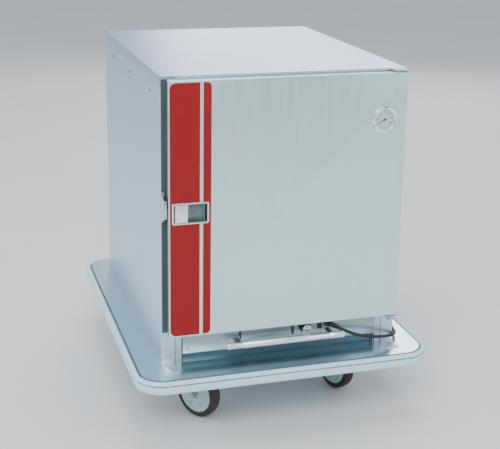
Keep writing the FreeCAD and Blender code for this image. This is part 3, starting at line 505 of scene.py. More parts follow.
# ---------------------------------------------------------------- the cord, before everything else
def make_cord():
    """The free stretch, then the hank's turns and a short tail into the plug, as one spline."""
    diameter = 8 * MM
    low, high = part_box("cord_hank")
    bend = (high.x - low.x) / 2 - diameter / 2
    middle = (low + high) / 2
    half_run = (high.y - low.y) / 2 - bend - diameter / 2
    floor = low.z + diameter / 2
    route = [(148.9, -372.8, 239.4), (187.7, -381.6, 220.4), (234, -382, 211), (272, -375, 204.5),
        (304, -357, 199), (322, -327, 192), (330, -292, 186), (340, -256, 184.4), (354, -222, 184.4),
        (364.5, -186, 184.4)]
    points = [Vector(p) * MM for p in route]
    turns = 3
    quarter = 4
    for turn in range(turns):
        lift = floor + turn * diameter
        for i in range(4 * quarter):
            share = i / (4 * quarter)
            angle = 2 * math.pi * share + math.pi / (4 * quarter)
            rise = diameter * max(0.0, (share - 0.5) / 0.5) if turn < turns - 1 else 0.0
            along_y = half_run if share < 0.5 else -half_run
            points.append(Vector((middle.x + bend * 1.012 * math.cos(angle),
                middle.y + along_y + bend * 1.012 * math.sin(angle), lift + rise)))
            if i in (2 * quarter - 1, 4 * quarter - 1):
                side = -1 if i < 2 * quarter else 1
                points += [Vector((middle.x + side * bend, middle.y + side * half_run * k, lift + rise))
                    for k in (-0.6, 0.0, 0.6)]
    top = floor + diameter * (turns - 1)
    plug_low, plug_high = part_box("plug")
    plug_x = (plug_low.x + plug_high.x) / 2
    points += [Vector((middle.x + bend - 1 * MM, middle.y + half_run * 0.85, top)),
        Vector((middle.x + bend - 6 * MM, middle.y + half_run * 1.08, top - 1 * MM)),
        Vector((plug_x + 7 * MM, plug_low.y - 14 * MM, plug_low.z + 17 * MM)),
        Vector((plug_x + 1 * MM, plug_low.y - 3 * MM, plug_low.z + 13 * MM)),
        Vector((plug_x, plug_low.y + 8 * MM, plug_low.z + 12 * MM)),]
    data = bpy.data.curves.new("mains_cord", "CURVE")
    data.dimensions = "3D"
    spline = data.splines.new("NURBS")
    spline.points.add(len(points) - 1)
    for target, point in zip(spline.points, points):
        target.co = (*point, 1)
    spline.order_u = 3
    spline.use_endpoint_u = True
    spline.resolution_u = 10
    data.bevel_depth = diameter / 2
    data.bevel_resolution = 5
    data.use_fill_caps = True
    data.materials.append(MAT["cord_rubber"])
    cord = bpy.data.objects.new("mains_cord", data)
    scene.collection.objects.link(cord)
    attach(cord, "heat_module")
    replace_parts(cord, "power_cord", "cord_hank")
    tie = make_tie(middle, bend, half_run, floor, turns, diameter)
    plug = make_plug(plug_low, plug_high)


def make_tie(middle, bend, half_run, floor, turns, diameter):
    """A hook-and-loop strap round the turns on the hank's two long sides."""
    bm = bmesh.new()
    half = 8 * MM
    for side in (1, -1):
        centre = Vector((middle.x + side * bend, middle.y - half_run * 0.15,
            floor + (turns - 1) * diameter / 2))
        outline = rounded(diameter + 2.2 * MM, turns * diameter + 0.4 * MM, 4 * MM)
        inner = rounded(diameter + 0.4 * MM, turns * diameter - 0.8 * MM, 3.2 * MM)
        rows = [[bm.verts.new(centre + Vector((p.x, y, p.y))) for p in loop] for loop,
            y in ((inner, -half), (outline, -half), (outline, half), (inner, half))]
        join_rows(bm, rows, closed=True)
    return from_bmesh("cord_tie", bm, "black_plastic", "heat_module")


def make_plug(low, high):
    """A moulded plug with a ribbed strain relief and three chrome blades."""
    bm = bmesh.new()
    x = (low.x + high.x) / 2
    z = low.z + 12 * MM
    body_start, body_end = low.y + 24 * MM, low.y + 54 * MM
    sections = [(body_start, 11, 12), (body_start + 4 * MM, 17, 17), (body_start + 11 * MM, 23, 22),
        (body_end - 4 * MM, 25.4, 23.2), (body_end, 24.4, 22)]
    rows = []
    for y, wide, tall in sections:
        loop = rounded(wide * MM, tall * MM, min(wide, tall) * 0.34 * MM, 5)
        rows.append([bm.verts.new(Vector((x + p.x, y, low.z + 12.1 * MM + p.y))) for p in loop])
    join_rows(bm, rows)
    bm.faces.new(rows[0])
    bm.faces.new(list(reversed(rows[-1])))
    relief = [(4.2 * MM, 0)]
    for i in range(5):
        start = 3.6 * i * MM + 1 * MM
        radius = (4.9 + 0.5 * i) * MM
        relief += [(radius, start), (radius + 0.15 * MM, start + 2.2 * MM),
            (radius - 0.7 * MM, start + 2.5 * MM), (radius - 0.7 * MM, start + 3.3 * MM)]
    relief += mm([(7.2, 20), (7.6, 25)])
    add_lathe(bm, relief, along(Y, (x, low.y, z)), 32)
    plug = from_bmesh("mains_plug", bm, "black_plastic", "heat_module")
    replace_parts(plug, "plug")
    blades = bmesh.new()
    for dx in (-6.35 * MM, 6.35 * MM):
        add_block(blades, (x + dx - 0.75 * MM, body_end - 1 * MM, z - 3.1 * MM),
            (x + dx + 0.75 * MM, body_end + 16.5 * MM, z + 3.1 * MM), 0.4 * MM, 2)
    add_lathe(blades, mm([(2.3, 0), (2.3, 17), (1.4, 19.5), (0, 20)]),
        along(Y, (x, body_end - 1 * MM, z - 8.5 * MM)), 24)
    pins = from_bmesh("plug_blades", blades, "chrome_trim", "heat_module")
    pins.parent = plug
    return plug


make_cord()


# ---------------------------------------------------------------- cabinet shell
def make_shell():
    """Folded side sheets, the cover that laps over them, the back, and the rivets."""
    for side, name in ((-1, "left"), (1, "right")):
        low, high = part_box(f"side_panel_{name}")
        outer, inner = (low.x, high.x) if side < 0 else (high.x, low.x)
        path = [(inner, high.y), (outer, high.y), (outer, low.y), (inner, low.y)]
        if side > 0:
            path.reverse()
        sheet = ribbon(f"side_sheet_{name}", bent(path, 2.4 * MM), SHEET, low.z, high.z, upright,
            "stainless_side", "cabinet")
        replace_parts(sheet, f"side_panel_{name}")
    low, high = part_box("top_cover")
    path = [(high.x, low.z), (high.x, high.z), (low.x, high.z), (low.x, low.z)]
    cover = ribbon("cover_sheet", bent(path, 2.6 * MM), SHEET, low.y, high.y, lengthways, "stainless_top",
        "cabinet")
    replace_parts(cover, "top_cover")
    lip = block("cover_hem", (low.x + 3 * MM, low.y, high.z - 4 * MM),
        (high.x - 3 * MM, low.y + 2.4 * MM, high.z - 1.2 * MM), 0.7 * MM, "stainless_top", "cabinet")
    lip.parent = cover
    low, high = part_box("back_panel")
    bm = bmesh.new()
    add_block(bm, low, high, 0.8 * MM)
    back = from_bmesh("back_sheet", bm, "stainless_side", "cabinet")
    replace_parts(back, "back_panel")
    bm = bmesh.new()
    for level in range(6):
        z = low.z + (24 + level * 132.4) * MM
        for x in (low.x + 14 * MM, high.x - 14 * MM):
            add_screw(bm, (x, high.y, z), Y)
    for x in (-170 * MM, 0, 170 * MM):
        for z in (low.z + 14 * MM, high.z - 14 * MM):
            add_screw(bm, (x, high.y, z), Y)
    from_bmesh("back_screws", bm, "zinc_plate", "cabinet")
    low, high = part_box("body_rivets")
    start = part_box("side_panel_left")[0].y
    bm = bmesh.new()
    for side, x in ((-1, low.x + 1.6 * MM), (1, high.x - 1.6 * MM)):
        for along_y in (111, 366, 615):
            at = (x, start + along_y * MM, (low.z + high.z) / 2)
            outline = [(4.5, 0), (4.45, 0.4), (3.9, 0.95), (2.6, 1.4), (0, 1.6)]
            add_lathe(bm, mm(outline), along(X * side, at), 24)
    rivets = from_bmesh("dome_rivets", bm, "rivet_grey", "cabinet", slot="zinc_plate")
    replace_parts(rivets, "body_rivets")


def make_jambs():
    """Dark strips beside the door, painted shade and dark reflection in the gap round it; the seams between the
    base's sheets; and a dark kick plate, painted shade.
    """
    frame_low, frame_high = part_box("front_frame")
    door_low, door_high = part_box("door_outer_pan")
    outer = -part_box("side_panel_left")[0].x
    # Dark strips over the frame's front returns, the height of the door: painted shade and dark reflection in the
    # gap beside the door.
    bm = bmesh.new()
    for side in (-1, 1):
        near, far = sorted((side * (outer - 1.5 * MM), side * (door_high.x - 6 * MM)))
        add_block(bm, (near, frame_low.y - 0.5 * MM, door_low.z), (far, frame_low.y, door_high.z - 2 * MM),
            0.2 * MM, 1)
    from_bmesh("jamb_strips", bm, "jamb_strip", "cabinet", slot="gasket_rubber")
    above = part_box("door_inner_pan")[1].z + 1.5 * MM
    block("head_strip", (frame_low.x, frame_low.y - 7 * MM, above),
        (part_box("hinge_brackets")[0].x - 1 * MM, frame_low.y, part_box("top_cover")[1].z - 1.4 * MM),
        0.6 * MM, "stainless_top", "cabinet")
    panel_low, panel_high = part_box("control_panel")
    bm = bmesh.new()
    for side in (-1, 1):
        for x, half in ((frame_high.x, 0.7 * MM), (panel_high.x + 1 * MM, 0.8 * MM)):
            add_block(bm, (side * x - half, frame_low.y - 0.3 * MM, frame_low.z),
                (side * x + half, frame_low.y, panel_high.z), 0.1 * MM, 1)
    from_bmesh("frame_seams", bm, "seam_dark", "cabinet", slot="gasket_rubber")
    # A darkened steel plate over the base rail: painted shade below the module face.
    bm = bmesh.new()
    bay_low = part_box("module_bay")[0]
    add_block(bm, (-panel_high.x, bay_low.y - 0.6 * MM, bay_low.z),
        (panel_high.x, bay_low.y, panel_low.z - 3 * MM), 0.25 * MM, 2)
    from_bmesh("kick_shade_plate", bm, "kick_shade_steel", "cabinet", slot="stainless_frame")


def make_hinges():
    low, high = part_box("hinge_brackets")
    pin_x, pin_y = joints["door_hinge"]["pos_m"][:2]
    bm = bmesh.new()
    for base, tab_low, tab_high, pin_low, pin_high in ((high.z - 2.5 * MM, high.z - 29.5 * MM, high.z,
            high.z - 20 * MM, high.z), (low.z + 24 * MM, low.z, low.z + 26.5 * MM, low.z + 24 * MM,
            low.z + 45 * MM)):
        outline = rounded_polygon([(low.x, low.y, 12 * MM), (high.x, low.y, 6 * MM), (high.x, high.y, 0),
            (low.x, high.y, 4 * MM)])
        add_prism(bm, outline, base, base + 2.5 * MM, Matrix(), 0.5 * MM)
        add_block(bm, (high.x - 13 * MM, high.y - 2.5 * MM, tab_low), (high.x, high.y, tab_high), 0.9 * MM)
        add_lathe(bm, [(0, pin_low), (3.4 * MM, pin_low), (4 * MM, pin_low + 0.6 * MM),
            (4 * MM, pin_high - 0.6 * MM), (3.4 * MM, pin_high),
            (0, pin_high)], Matrix.Translation((pin_x, pin_y, 0)), 32)
        middle = (tab_low + tab_high) / 2
        for dz in (-6 * MM, 6 * MM):
            add_screw(bm, (high.x - 6.5 * MM, high.y - 2.5 * MM, middle + dz), -Y, 2.6 * MM, 1.3 * MM)
    hinges = from_bmesh("pivot_hinges", bm, "zinc_plate", "cabinet")
    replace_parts(hinges, "hinge_brackets")


# ---------------------------------------------------------------- door
def make_door():
    low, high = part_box("door_outer_pan")
    latch_low, latch_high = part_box("latch_housing")
    dial = (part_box("thermometer_case")[0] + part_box("thermometer_case")[1]) / 2
    bm = bmesh.new()
    add_block(bm, low, high, 2.4 * MM, 4)
    skin = from_bmesh("door_skin", bm, "stainless_door", "door")
    wall = Vector((SHEET, SHEET, SHEET))
    cut_away(skin, lambda t: add_block(t, low + wall, high - wall, 1.3 * MM))
    inner_low, inner_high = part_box("door_inner_pan")
    flange = 1 * MM
    cut_away(skin, lambda t: add_block(t, (inner_low.x + flange, high.y - 4 * MM, inner_low.z + flange),
        (inner_high.x - flange, high.y + 4 * MM, inner_high.z - flange)))
    window_low = Vector((latch_low.x + 2.6 * MM, low.y - 5 * MM, latch_low.z + 2.6 * MM))
    window_high = Vector((latch_high.x - 2.6 * MM, low.y + 5 * MM, latch_high.z - 2.6 * MM))
    cut_away(skin, lambda t: add_block(t, window_low, window_high))
    cut_away(skin, lambda t: add_lathe(t, mm([(0, -6), (26.5, -6), (26.5, 6), (0, 6)]),
        front(dial.x, low.y, dial.z), 64))
    bolt_low, bolt_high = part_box("latch_bolt")
    cut_away(skin, lambda t: add_block(t, (low.x - 3 * MM, bolt_low.y - 1 * MM, bolt_low.z - 1.5 * MM),
        (low.x + 9 * MM, bolt_high.y + 1 * MM, bolt_high.z + 1.5 * MM)))
    # The door's side faces take a darker copy of the steel: painted shade on its returns.
    skin.data.materials.append(MAT["door_side_shade"])
    for face in skin.data.polygons:
        if abs(face.normal.x) > 0.9 and face.area > 100 * MM * MM:
            face.material_index = 1
    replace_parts(skin, "door_outer_pan")

    bm = bmesh.new()
    add_block(bm, inner_low, inner_high, 2.2 * MM, 4)
    bm.normal_update()
    face = max((f for f in bm.faces if f.normal.y > 0.99), key=lambda f: f.calc_area())
    bmesh.ops.inset_region(bm, faces=[face], thickness=52 * MM)
    bmesh.ops.inset_region(bm, faces=[face], thickness=5 * MM, depth=-1.0 * MM)
    inner = from_bmesh("door_inner_sheet", bm, "liner_steel", "door")
    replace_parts(inner, "door_inner_pan")

    seal_low, seal_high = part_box("door_gasket")
    section = [(21, 0), (21, -1.4), (19.4, -3.1), (16.6, -3.6), (13.6, -2.7), (11, -2.2), (8.4, -2.7),
        (5.4, -3.6), (2.6, -3.1), (1, -1.4), (1, 0)]
    middle = (seal_low + seal_high) / 2
    size = seal_high - seal_low
    seal = swept("door_seal", section, ring(size.x, size.z, 21 * MM, 6),
        front(middle.x, seal_low.y, middle.z), "gasket_rubber", "door")
    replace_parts(seal, "door_gasket")

    film_low, film_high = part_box("door_stripes")
    film = film_high.y - film_low.y
    bm = bmesh.new()
    wide_right = film_low.x + 71 * MM
    narrow_left = film_high.x - 19 * MM
    wide = [(film_low.x, film_low.z, 14 * MM), (wide_right, film_low.z, 0), (wide_right, film_high.z, 0),
        (film_low.x, film_high.z, 14 * MM)]
    narrow = [(narrow_left, film_low.z, 0), (film_high.x, film_low.z, 11 * MM),
        (film_high.x, film_high.z, 11 * MM), (narrow_left, film_high.z, 0)]
    for corners in (wide, narrow):
        add_prism(bm, rounded_polygon(corners, 8), 0, film, front(0, film_high.y, 0))
    stripes = from_bmesh("red_stripes", bm, "red_vinyl", "door")
    cut_away(stripes, lambda t: add_block(t, window_low, window_high))
    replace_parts(stripes, "door_stripes")


# ---------------------------------------------------------------- latch
def make_latch():
    low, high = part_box("latch_housing")
    middle = (low + high) / 2
    wide, tall = high.x - low.x, high.z - low.z
    place = front(middle.x, low.y, middle.z)
    # Rings from the back of the rim, over it and down the inside of the cup: (inset, outward, corner).
    steps = [(0, -3.0, 5), (0, -1.0, 5), (0.5, -0.25, 4.6), (1.4, 0, 4.2), (3.6, 0, 3.2), (4.3, -0.3, 3),
        (4.8, -1.2, 2.6)]

    def add_rings(bm, steps):
        rows = []
        for inset, out, corner in steps:
            outline = rounded(wide - 2 * inset * MM, tall - 2 * inset * MM, corner * MM)
            rows.append([bm.verts.new(place @ Vector((p.x, p.y, out * MM))) for p in outline])
        join_rows(bm, rows)
        return rows

    bm = bmesh.new()
    add_rings(bm, steps)
    bezel = from_bmesh("latch_bezel", bm, "chrome_trim", "door")
    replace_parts(bezel, "latch_housing")

    # The cup and its ribs take a darkened steel: painted shade inside the latch recess.
    bm = bmesh.new()
    rows = add_rings(bm, ((4.7, -1.1, 2.6), (5.6, -8, 3), (6.6, -14.4, 3.4), (8, -15.6, 3.8)))
    bm.faces.new(rows[-1])
    cup = from_bmesh("latch_cup", bm, "cup_shade_steel", "door", slot="zinc_plate")
    cup.parent = bezel
    bm = bmesh.new()
    x = low.x + 43 * MM
    while x < high.x - 9.5 * MM:
        add_block(bm, (x, low.y + 13.4 * MM, low.z + 7.4 * MM),
            (x + 1.6 * MM, low.y + 15.8 * MM, high.z - 7.4 * MM), 0.5 * MM, 2)
        x += 2.9 * MM
    ribs = from_bmesh("latch_ribs", bm, "cup_shade_steel", "door", slot="zinc_plate")
    ribs.parent = bezel

    flap_low, flap_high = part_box("latch_paddle")
    left, right, out = flap_low.x, flap_high.x, flap_low.y
    line = [(right - 0.1 * MM, out + 8 * MM), (right, out + 4.5 * MM), (right - 0.7 * MM, out + 2.2 * MM),
        (right - 2.6 * MM, out + 0.9 * MM), (right - 7 * MM, out + 0.25 * MM), (right - 13 * MM, out),
        (right - 20 * MM, out + 0.5 * MM), (left + 6 * MM, out + 1.7 * MM), (left + 2.4 * MM, out + 3 * MM),
        (left + 0.6 * MM, out + 5 * MM), (left + 0.2 * MM, out + 7.4 * MM)]
    bm = bmesh.new()
    add_ribbon(bm, [Vector(p) for p in line], 1.3 * MM, flap_low.z, flap_high.z, upright)
    ends = [e for e in bm.edges if abs(e.verts[0].co.z - e.verts[1].co.z) < 1e-6]
    bmesh.ops.bevel(bm, geom=ends, offset=0.35 * MM, segments=2, profile=0.5, affect="EDGES")
    pivot = joints["paddle_pivot"]["pos_m"]
    add_lathe(bm, [(0, flap_low.z + 0.2 * MM), (2.4 * MM, flap_low.z + 0.2 * MM),
        (2.6 * MM, flap_low.z + 0.7 * MM), (2.6 * MM, flap_high.z - 0.7 * MM),
        (2.4 * MM, flap_high.z - 0.2 * MM), (0, flap_high.z - 0.2 * MM)], Matrix.Translation((pivot[0],
        pivot[1], 0)), 24)
    paddle = from_bmesh("paddle_plate", bm, "handle_steel", "latch_paddle")
    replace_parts(paddle, "latch_paddle")

    bolt_low, bolt_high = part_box("latch_bolt")
    bm = bmesh.new()
    add_block(bm, bolt_low, (bolt_low.x + 10.8 * MM, bolt_high.y, bolt_high.z), 0.9 * MM)
    add_block(bm, (bolt_low.x + 10 * MM, bolt_low.y, bolt_low.z + 2 * MM),
        (bolt_high.x, bolt_high.y, bolt_high.z - 2 * MM), 0.6 * MM)
    bolt = from_bmesh("bolt_tongue", bm, "zinc_plate", "latch_bolt")
    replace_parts(bolt, "latch_bolt")

    low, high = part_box("latch_strike")
    side = Matrix(((0, 0, 1, 0), (1, 0, 0, 0), (0, 1, 0, 0), (0, 0, 0, 1)))
    bm = bmesh.new()
    outline = rounded_polygon([(low.y, low.z + 14 * MM, 3 * MM), (high.y, low.z, 2 * MM),
        (high.y, high.z, 2 * MM), (low.y, high.z - 14 * MM, 3 * MM)])
    add_prism(bm, outline, low.x, low.x + 2.5 * MM, side, 0.6 * MM)
    add_block(bm, (low.x, low.y, low.z + 14 * MM), (high.x, low.y + 3.4 * MM, high.z - 14 * MM), 1.1 * MM)
    add_block(bm, (low.x, high.y - 2.5 * MM, low.z), (high.x, high.y, high.z), 0.9 * MM)
    for dz in (-21 * MM, 21 * MM):
        add_screw(bm, (high.x - 3.4 * MM, high.y - 2.5 * MM, (low.z + high.z) / 2 + dz), -Y, 2.4 * MM,
            1.2 * MM)
    strike = from_bmesh("strike_keeper", bm, "chrome_trim", "cabinet")
    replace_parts(strike, "latch_strike")


# ---------------------------------------------------------------- dial thermometer
def numerals(name, marks, size, material, body):
    """Flat figures just off the dial: each mark is a text and the matrix that places it."""
    bm = bmesh.new()
    for text, place in marks:
        data = bpy.data.curves.new("figure", "FONT")
        data.body = text
        data.size = size
        data.align_x = "CENTER"
        data.align_y = "CENTER"
        obj = bpy.data.objects.new("figure", data)
        scene.collection.objects.link(obj)
        bpy.context.view_layer.update()
        mesh = bpy.data.meshes.new_from_object(obj.evaluated_get(bpy.context.evaluated_depsgraph_get()))
        mesh.transform(place)
        bm.from_mesh(mesh)
        bpy.data.objects.remove(obj)
        bpy.data.curves.remove(data)
        bpy.data.meshes.remove(mesh)
    return from_bmesh(name, bm, material, body)


def make_thermometer():
    low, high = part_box("thermometer_case")
    centre = (low + high) / 2
    face = low.y
    place = front(centre.x, face, centre.z)
    outline = [(32.4, -5), (32.4, -3.7), (31.9, -3.2), (29.0, -3.0), (28.4, -2.6), (28.2, -1.0),
        (27.6, -0.3), (26.6, 0), (25.6, -0.2), (24.8, -1.0), (24.4, -2.4), (24.2, -5.8)]
    case = lathe("dial_bezel", mm(outline), place, "dial_steel", "door", 96, slot="chrome_trim")
    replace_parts(case, "thermometer_case")
    stem = lathe("dial_stem", mm([(0, -53), (2.2, -53), (2.9, -52), (2.9, -20), (9, -19.5), (26, -18),
        (26, -6)]), place, "zinc_plate", "door", 48)
    stem.parent = case
    dial_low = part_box("thermometer_dial")[0]
    plate_out = face - dial_low.y
    disc = [(0, plate_out - 1 * MM), (24.6 * MM, plate_out - 1 * MM), (24.6 * MM, plate_out - 0.2 * MM),
        (24.3 * MM, plate_out), (0, plate_out)]
    dial = lathe("dial_plate", disc, place, "dial_face", "door", 96)
    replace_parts(dial, "thermometer_dial")
    bm = bmesh.new()
    start, sweep, divisions = math.radians(238), math.radians(240), 24
    marks = []
    for i in range(divisions + 1):
        angle = start + sweep * i / divisions
        way = Vector((math.sin(angle), math.cos(angle)))
        across = Vector((way.y, -way.x))
        major = i % 4 == 0
        inner, half = (18.6 * MM, 0.42 * MM) if major else (20.4 * MM, 0.22 * MM)
        corners = [way * inner - across * half, way * inner + across * half,
            way * 22.6 * MM + across * half, way * 22.6 * MM - across * half]
        add_prism(bm, corners, plate_out, plate_out + 0.08 * MM, place)
        if major:
            at = way * 15.6 * MM
            marks.append((str(i * 10), place @ Matrix.Translation((at.x, at.y, plate_out + 0.08 * MM))))
    ticks = from_bmesh("dial_ticks", bm, "needle_black", "door")
    ticks.parent = dial
    figures = numerals("dial_numbers", marks, 4.4 * MM, "needle_black", "door")
    figures.parent = dial

    tip = joints["needle_turn"]["pos_m"]
    way = Vector((math.sin(start), math.cos(start)))
    across = Vector((way.y, -way.x))
    blade = [way * -5 * MM - across * 1.1 * MM, way * -5 * MM + across * 1.1 * MM,
        way * 2 * MM + across * 1.0 * MM, way * 20.3 * MM + across * 0.15 * MM,
        way * 20.3 * MM - across * 0.15 * MM, way * 2 * MM - across * 1.0 * MM]
    bm = bmesh.new()
    needle_low, needle_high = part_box("thermometer_needle")
    hub_place = front(tip[0], 0, tip[2])
    add_prism(bm, blade, -needle_low.y - 1.0 * MM, -needle_low.y - 0.5 * MM, hub_place)
    add_lathe(bm, [(0, -needle_high.y), (1 * MM, -needle_high.y), (1 * MM, -needle_low.y - 1.4 * MM),
        (2.6 * MM, -needle_low.y - 1.3 * MM), (2.6 * MM, -needle_low.y - 0.4 * MM),
        (2.0 * MM, -needle_low.y), (0, -needle_low.y)], hub_place, 32)
    needle = from_bmesh("dial_pointer", bm, "needle_black", "thermometer_needle")
    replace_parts(needle, "thermometer_needle")

    glass_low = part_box("thermometer_lens")[0]
    out = face - glass_low.y
    lens = lathe("dial_window", [(0, out - 0.1 * MM), (12 * MM, out - 0.25 * MM), (20 * MM, out - 0.6 * MM),
        (24.3 * MM, out - 1.0 * MM), (24.3 * MM, out - 1.9 * MM),
        (0, out - 1.2 * MM)], place, "dial_glass", "door", 96)
    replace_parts(lens, "thermometer_lens")
    bm = bmesh.new()
    for degrees in (2, 122, 242):
        angle = math.radians(degrees)
        at = place @ Vector((30.3 * MM * math.sin(angle), 30.3 * MM * math.cos(angle), -3.1 * MM))
        add_screw(bm, at, -Y, 1.8 * MM, 1.3 * MM)
    screws = from_bmesh("dial_screws", bm, "plate_edge", "door", slot="zinc_plate")
    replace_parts(screws, "thermometer_screws")


# ---------------------------------------------------------------- platform
def make_platform():
    low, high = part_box("bumper_strip")
    size = high - low
    corner = 70 * MM
    height = size.z / MM
    section = [(59.4, 1), (59.4, height - 1.8), (60.0, height - 0.5), (61.2, height), (64.4, height - 0.2),
        (67.0, height - 1.3), (68.6, height - 3.4), (69.1, height - 6), (69.1, height - 8.4),
        (66.6, height - 9.0), (66.6, height - 11.4), (69.2, height - 12), (69.8, height - 13.2),
        (70, height - 14.6), (70, 13.5), (69.7, 8.6), (68.5, 4.4), (66.4, 1.7), (63.6, 0.3), (60.5, 0)]
    bumper = swept("bumper_rail", section, ring(size.x, size.y, corner, 14),
        Matrix.Translation((0, 0, low.z)), "bumper_vinyl", "cabinet", sharp=45)
    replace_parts(bumper, "bumper_strip")
    # A dark strip in the bumper's groove: painted shade in the groove.
    groove = swept("bumper_groove_shade", [(66.2, height - 11.6), (66.2, height - 8.8), (67.6, height - 9.2),
        (67.6, height - 11.2)], ring(size.x, size.y, corner,
        14), Matrix.Translation((0, 0, low.z)), "gap_shade", "cabinet", slot="gasket_rubber")
    groove.parent = bumper
    low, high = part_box("deck_pan")
    size = high - low
    deck = prism("deck_sheet", rounded(size.x - 7 * MM, size.y - 7 * MM, 54.5 * MM, 14), low.z, high.z,
        Matrix(), "deck_steel", "cabinet", bevel=1.0 * MM)
    # A dark strip in the gap between deck and bumper: painted shade in the gap.
    seam = swept("deck_seam_shade", [(52, -0.2), (52, 0.4), (60, 0.4), (60, -0.2)],
        ring(size.x + 24 * MM, size.y + 24 * MM, corner, 14), Matrix.Translation((0, 0, low.z)),
        "gap_shade", "cabinet", slot="gasket_rubber")
    seam.parent = deck
    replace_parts(deck, "deck_pan")
    low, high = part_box("foot_plates")
    bm = bmesh.new()
    heads = bmesh.new()
    for side in (-1, 1):
        near, far = sorted((side * high.x, side * (high.x - 34 * MM)))
        add_prism(bm, rounded_box(near, low.y, far, high.y, 3 * MM), low.z, low.z + 3 * MM, Matrix(),
            0.7 * MM)
        add_screw(heads, ((near + far) / 2, high.y - 27 * MM, low.z + 3 * MM), Z, 5 * MM, 2.5 * MM)
    feet = from_bmesh("foot_tabs", bm, "foot_steel", "cabinet", slot="chrome_trim")
    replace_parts(feet, "foot_plates")
    bolts = from_bmesh("foot_screws", heads, "zinc_plate", "cabinet")
    bolts.parent = feet


# ---------------------------------------------------------------- heat module
def make_module():
    low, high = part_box("control_panel")
    bm = bmesh.new()
    add_prism(bm, rounded_box(low.x, low.z, high.x, high.z, 2.5 * MM), -high.y, -low.y, front(0, 0, 0),
        0.6 * MM)
    # The face's darkened steel is painted shade under the door.
    panel = from_bmesh("module_face", bm, "panel_shade_steel", "heat_module", slot="stainless_frame")
    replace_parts(panel, "control_panel")
    bm = bmesh.new()
    for x in (low.x + 12 * MM, high.x - 12 * MM):
        for z in (low.z + 10 * MM, high.z - 10 * MM):
            add_screw(bm, (x, low.y, z), -Y, 3 * MM, 1.4 * MM)
    screws = from_bmesh("module_screws", bm, "zinc_plate", "heat_module")
    screws.parent = panel

    low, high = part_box("module_handle")
    radius = (high.z - low.z) / 2
    y, z = low.y + radius, (low.z + high.z) / 2
    half = high.x
    outline = [(0, -half), (radius - 1.6 * MM, -half), (radius - 0.3 * MM, -half + 0.7 * MM),
        (radius, -half + 2 * MM)]
    for x in (-112 * MM, 112 * MM):
        outline += [(radius, x - 1.3 * MM), (radius - 0.7 * MM, x - 0.6 * MM),
            (radius - 0.7 * MM, x + 0.6 * MM), (radius, x + 1.3 * MM)]
    outline += [(radius, half - 2 * MM), (radius - 0.3 * MM, half - 0.7 * MM), (radius - 1.6 * MM, half),
        (0, half)]
    tube = lathe("grab_bar", outline, along(X, (0, y, z)), "handle_steel", "heat_module", 48, sharp=50)
    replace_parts(tube, "module_handle")
    bm = bmesh.new()
    for x in (-120 * MM, 120 * MM):
        add_block(bm, (x - 7 * MM, y + 5 * MM, z - 5 * MM), (x + 7 * MM, high.y - 1.5 * MM, z + 5 * MM),
            2.2 * MM, 4)
        add_prism(bm, rounded_box(x - 11 * MM, z - radius, x + 11 * MM, z + radius, 3 * MM), -high.y,
            -high.y + 3 * MM, front(0, 0, 0), 0.8 * MM)
    legs = from_bmesh("grab_brackets", bm, "zinc_plate", "heat_module")
    legs.parent = tube

    low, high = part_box("nameplate")
    plate = prism("blank_plate", rounded_box(low.x, low.z, high.x, high.z, 2 * MM), -high.y, -low.y,
        front(0, 0, 0), "plate_grey", "heat_module", bevel=0.3 * MM)
    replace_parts(plate, "nameplate")
    bm = bmesh.new()
    for x in (low.x, high.x - 7 * MM):
        add_prism(bm, rounded_box(x, low.z, x + 7 * MM, high.z, 2 * MM), 0, 0.5 * MM, front(0, low.y, 0),
            0.15 * MM)
    add_block(bm, (low.x + 2 * MM, low.y - 0.5 * MM, high.z - 2.2 * MM), (high.x - 2 * MM, low.y, high.z),
        0.15 * MM, 1)
    ends = from_bmesh("plate_ends", bm, "plate_edge", "heat_module", slot="black_plastic")
    ends.parent = plate
    bm = bmesh.new()
    for x in (low.x + 4.5 * MM, high.x - 4.5 * MM):
        add_screw(bm, (x - 1 * MM if x < 0 else x + 1 * MM, low.y - 0.5 * MM, (low.z + high.z) / 2), -Y,
            1.7 * MM, 0.8 * MM)
    pins = from_bmesh("plate_screws", bm, "plate_edge", "heat_module", slot="zinc_plate")
    pins.parent = plate

    low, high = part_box("control_knob")
    centre = (low + high) / 2
    radius = (high.x - low.x) / 2 / MM
    skirt_start = low.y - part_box("control_panel")[0].y
    place = front(centre.x, low.y, centre.z)
    depth = -skirt_start / MM
    outline = [(3, -depth - 8), (3, -depth + 0.6), (radius, -depth + 0.6), (radius, -depth + 3.4),
        (radius - 0.7, -depth + 4.4), (radius - 2.6, -depth + 5.2), (radius - 3.4, -depth + 7),
        (radius - 4, -2.6), (radius - 4.5, -1)]
    bm = bmesh.new()
    add_lathe(bm, mm(outline), place, 64)
    for i in range(20):
        angle = 2 * math.pi * i / 20
        out = Vector((math.cos(angle), math.sin(angle))) * (radius - 3.7) * MM
        add_lathe(bm, [(0, -depth * MM + 6 * MM), (0.8 * MM, -depth * MM + 6 * MM), (0.7 * MM, -3 * MM),
            (0, -2.4 * MM)], place @ Matrix.Translation((out.x, out.y, 0)), 8)
    knob = from_bmesh("knob_skirt", bm, "black_plastic", "control_knob")
    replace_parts(knob, "control_knob")
    cap = lathe("knob_cap", mm([(radius - 4.4, -1.2), (radius - 4.6, -0.4), (radius - 5.2, 0), (0, 0)]),
        place, "knob_silver", "control_knob", 64)
    cap.parent = knob
    bm = bmesh.new()
    add_block(bm, (centre.x - 0.7 * MM, low.y, centre.z + 2 * MM),
        (centre.x + 0.7 * MM, low.y + 0.5 * MM, centre.z + (radius - 5.4) * MM), 0.2 * MM, 2)
    add_block(bm, (centre.x - 0.8 * MM, low.y + depth * MM - 5 * MM, centre.z + (radius - 3) * MM),
        (centre.x + 0.8 * MM, low.y + depth * MM - 3 * MM, centre.z + (radius - 0.6) * MM), 0.3 * MM, 2)
    pointer = from_bmesh("knob_pointer", bm, "needle_black", "control_knob")
    pointer.parent = knob

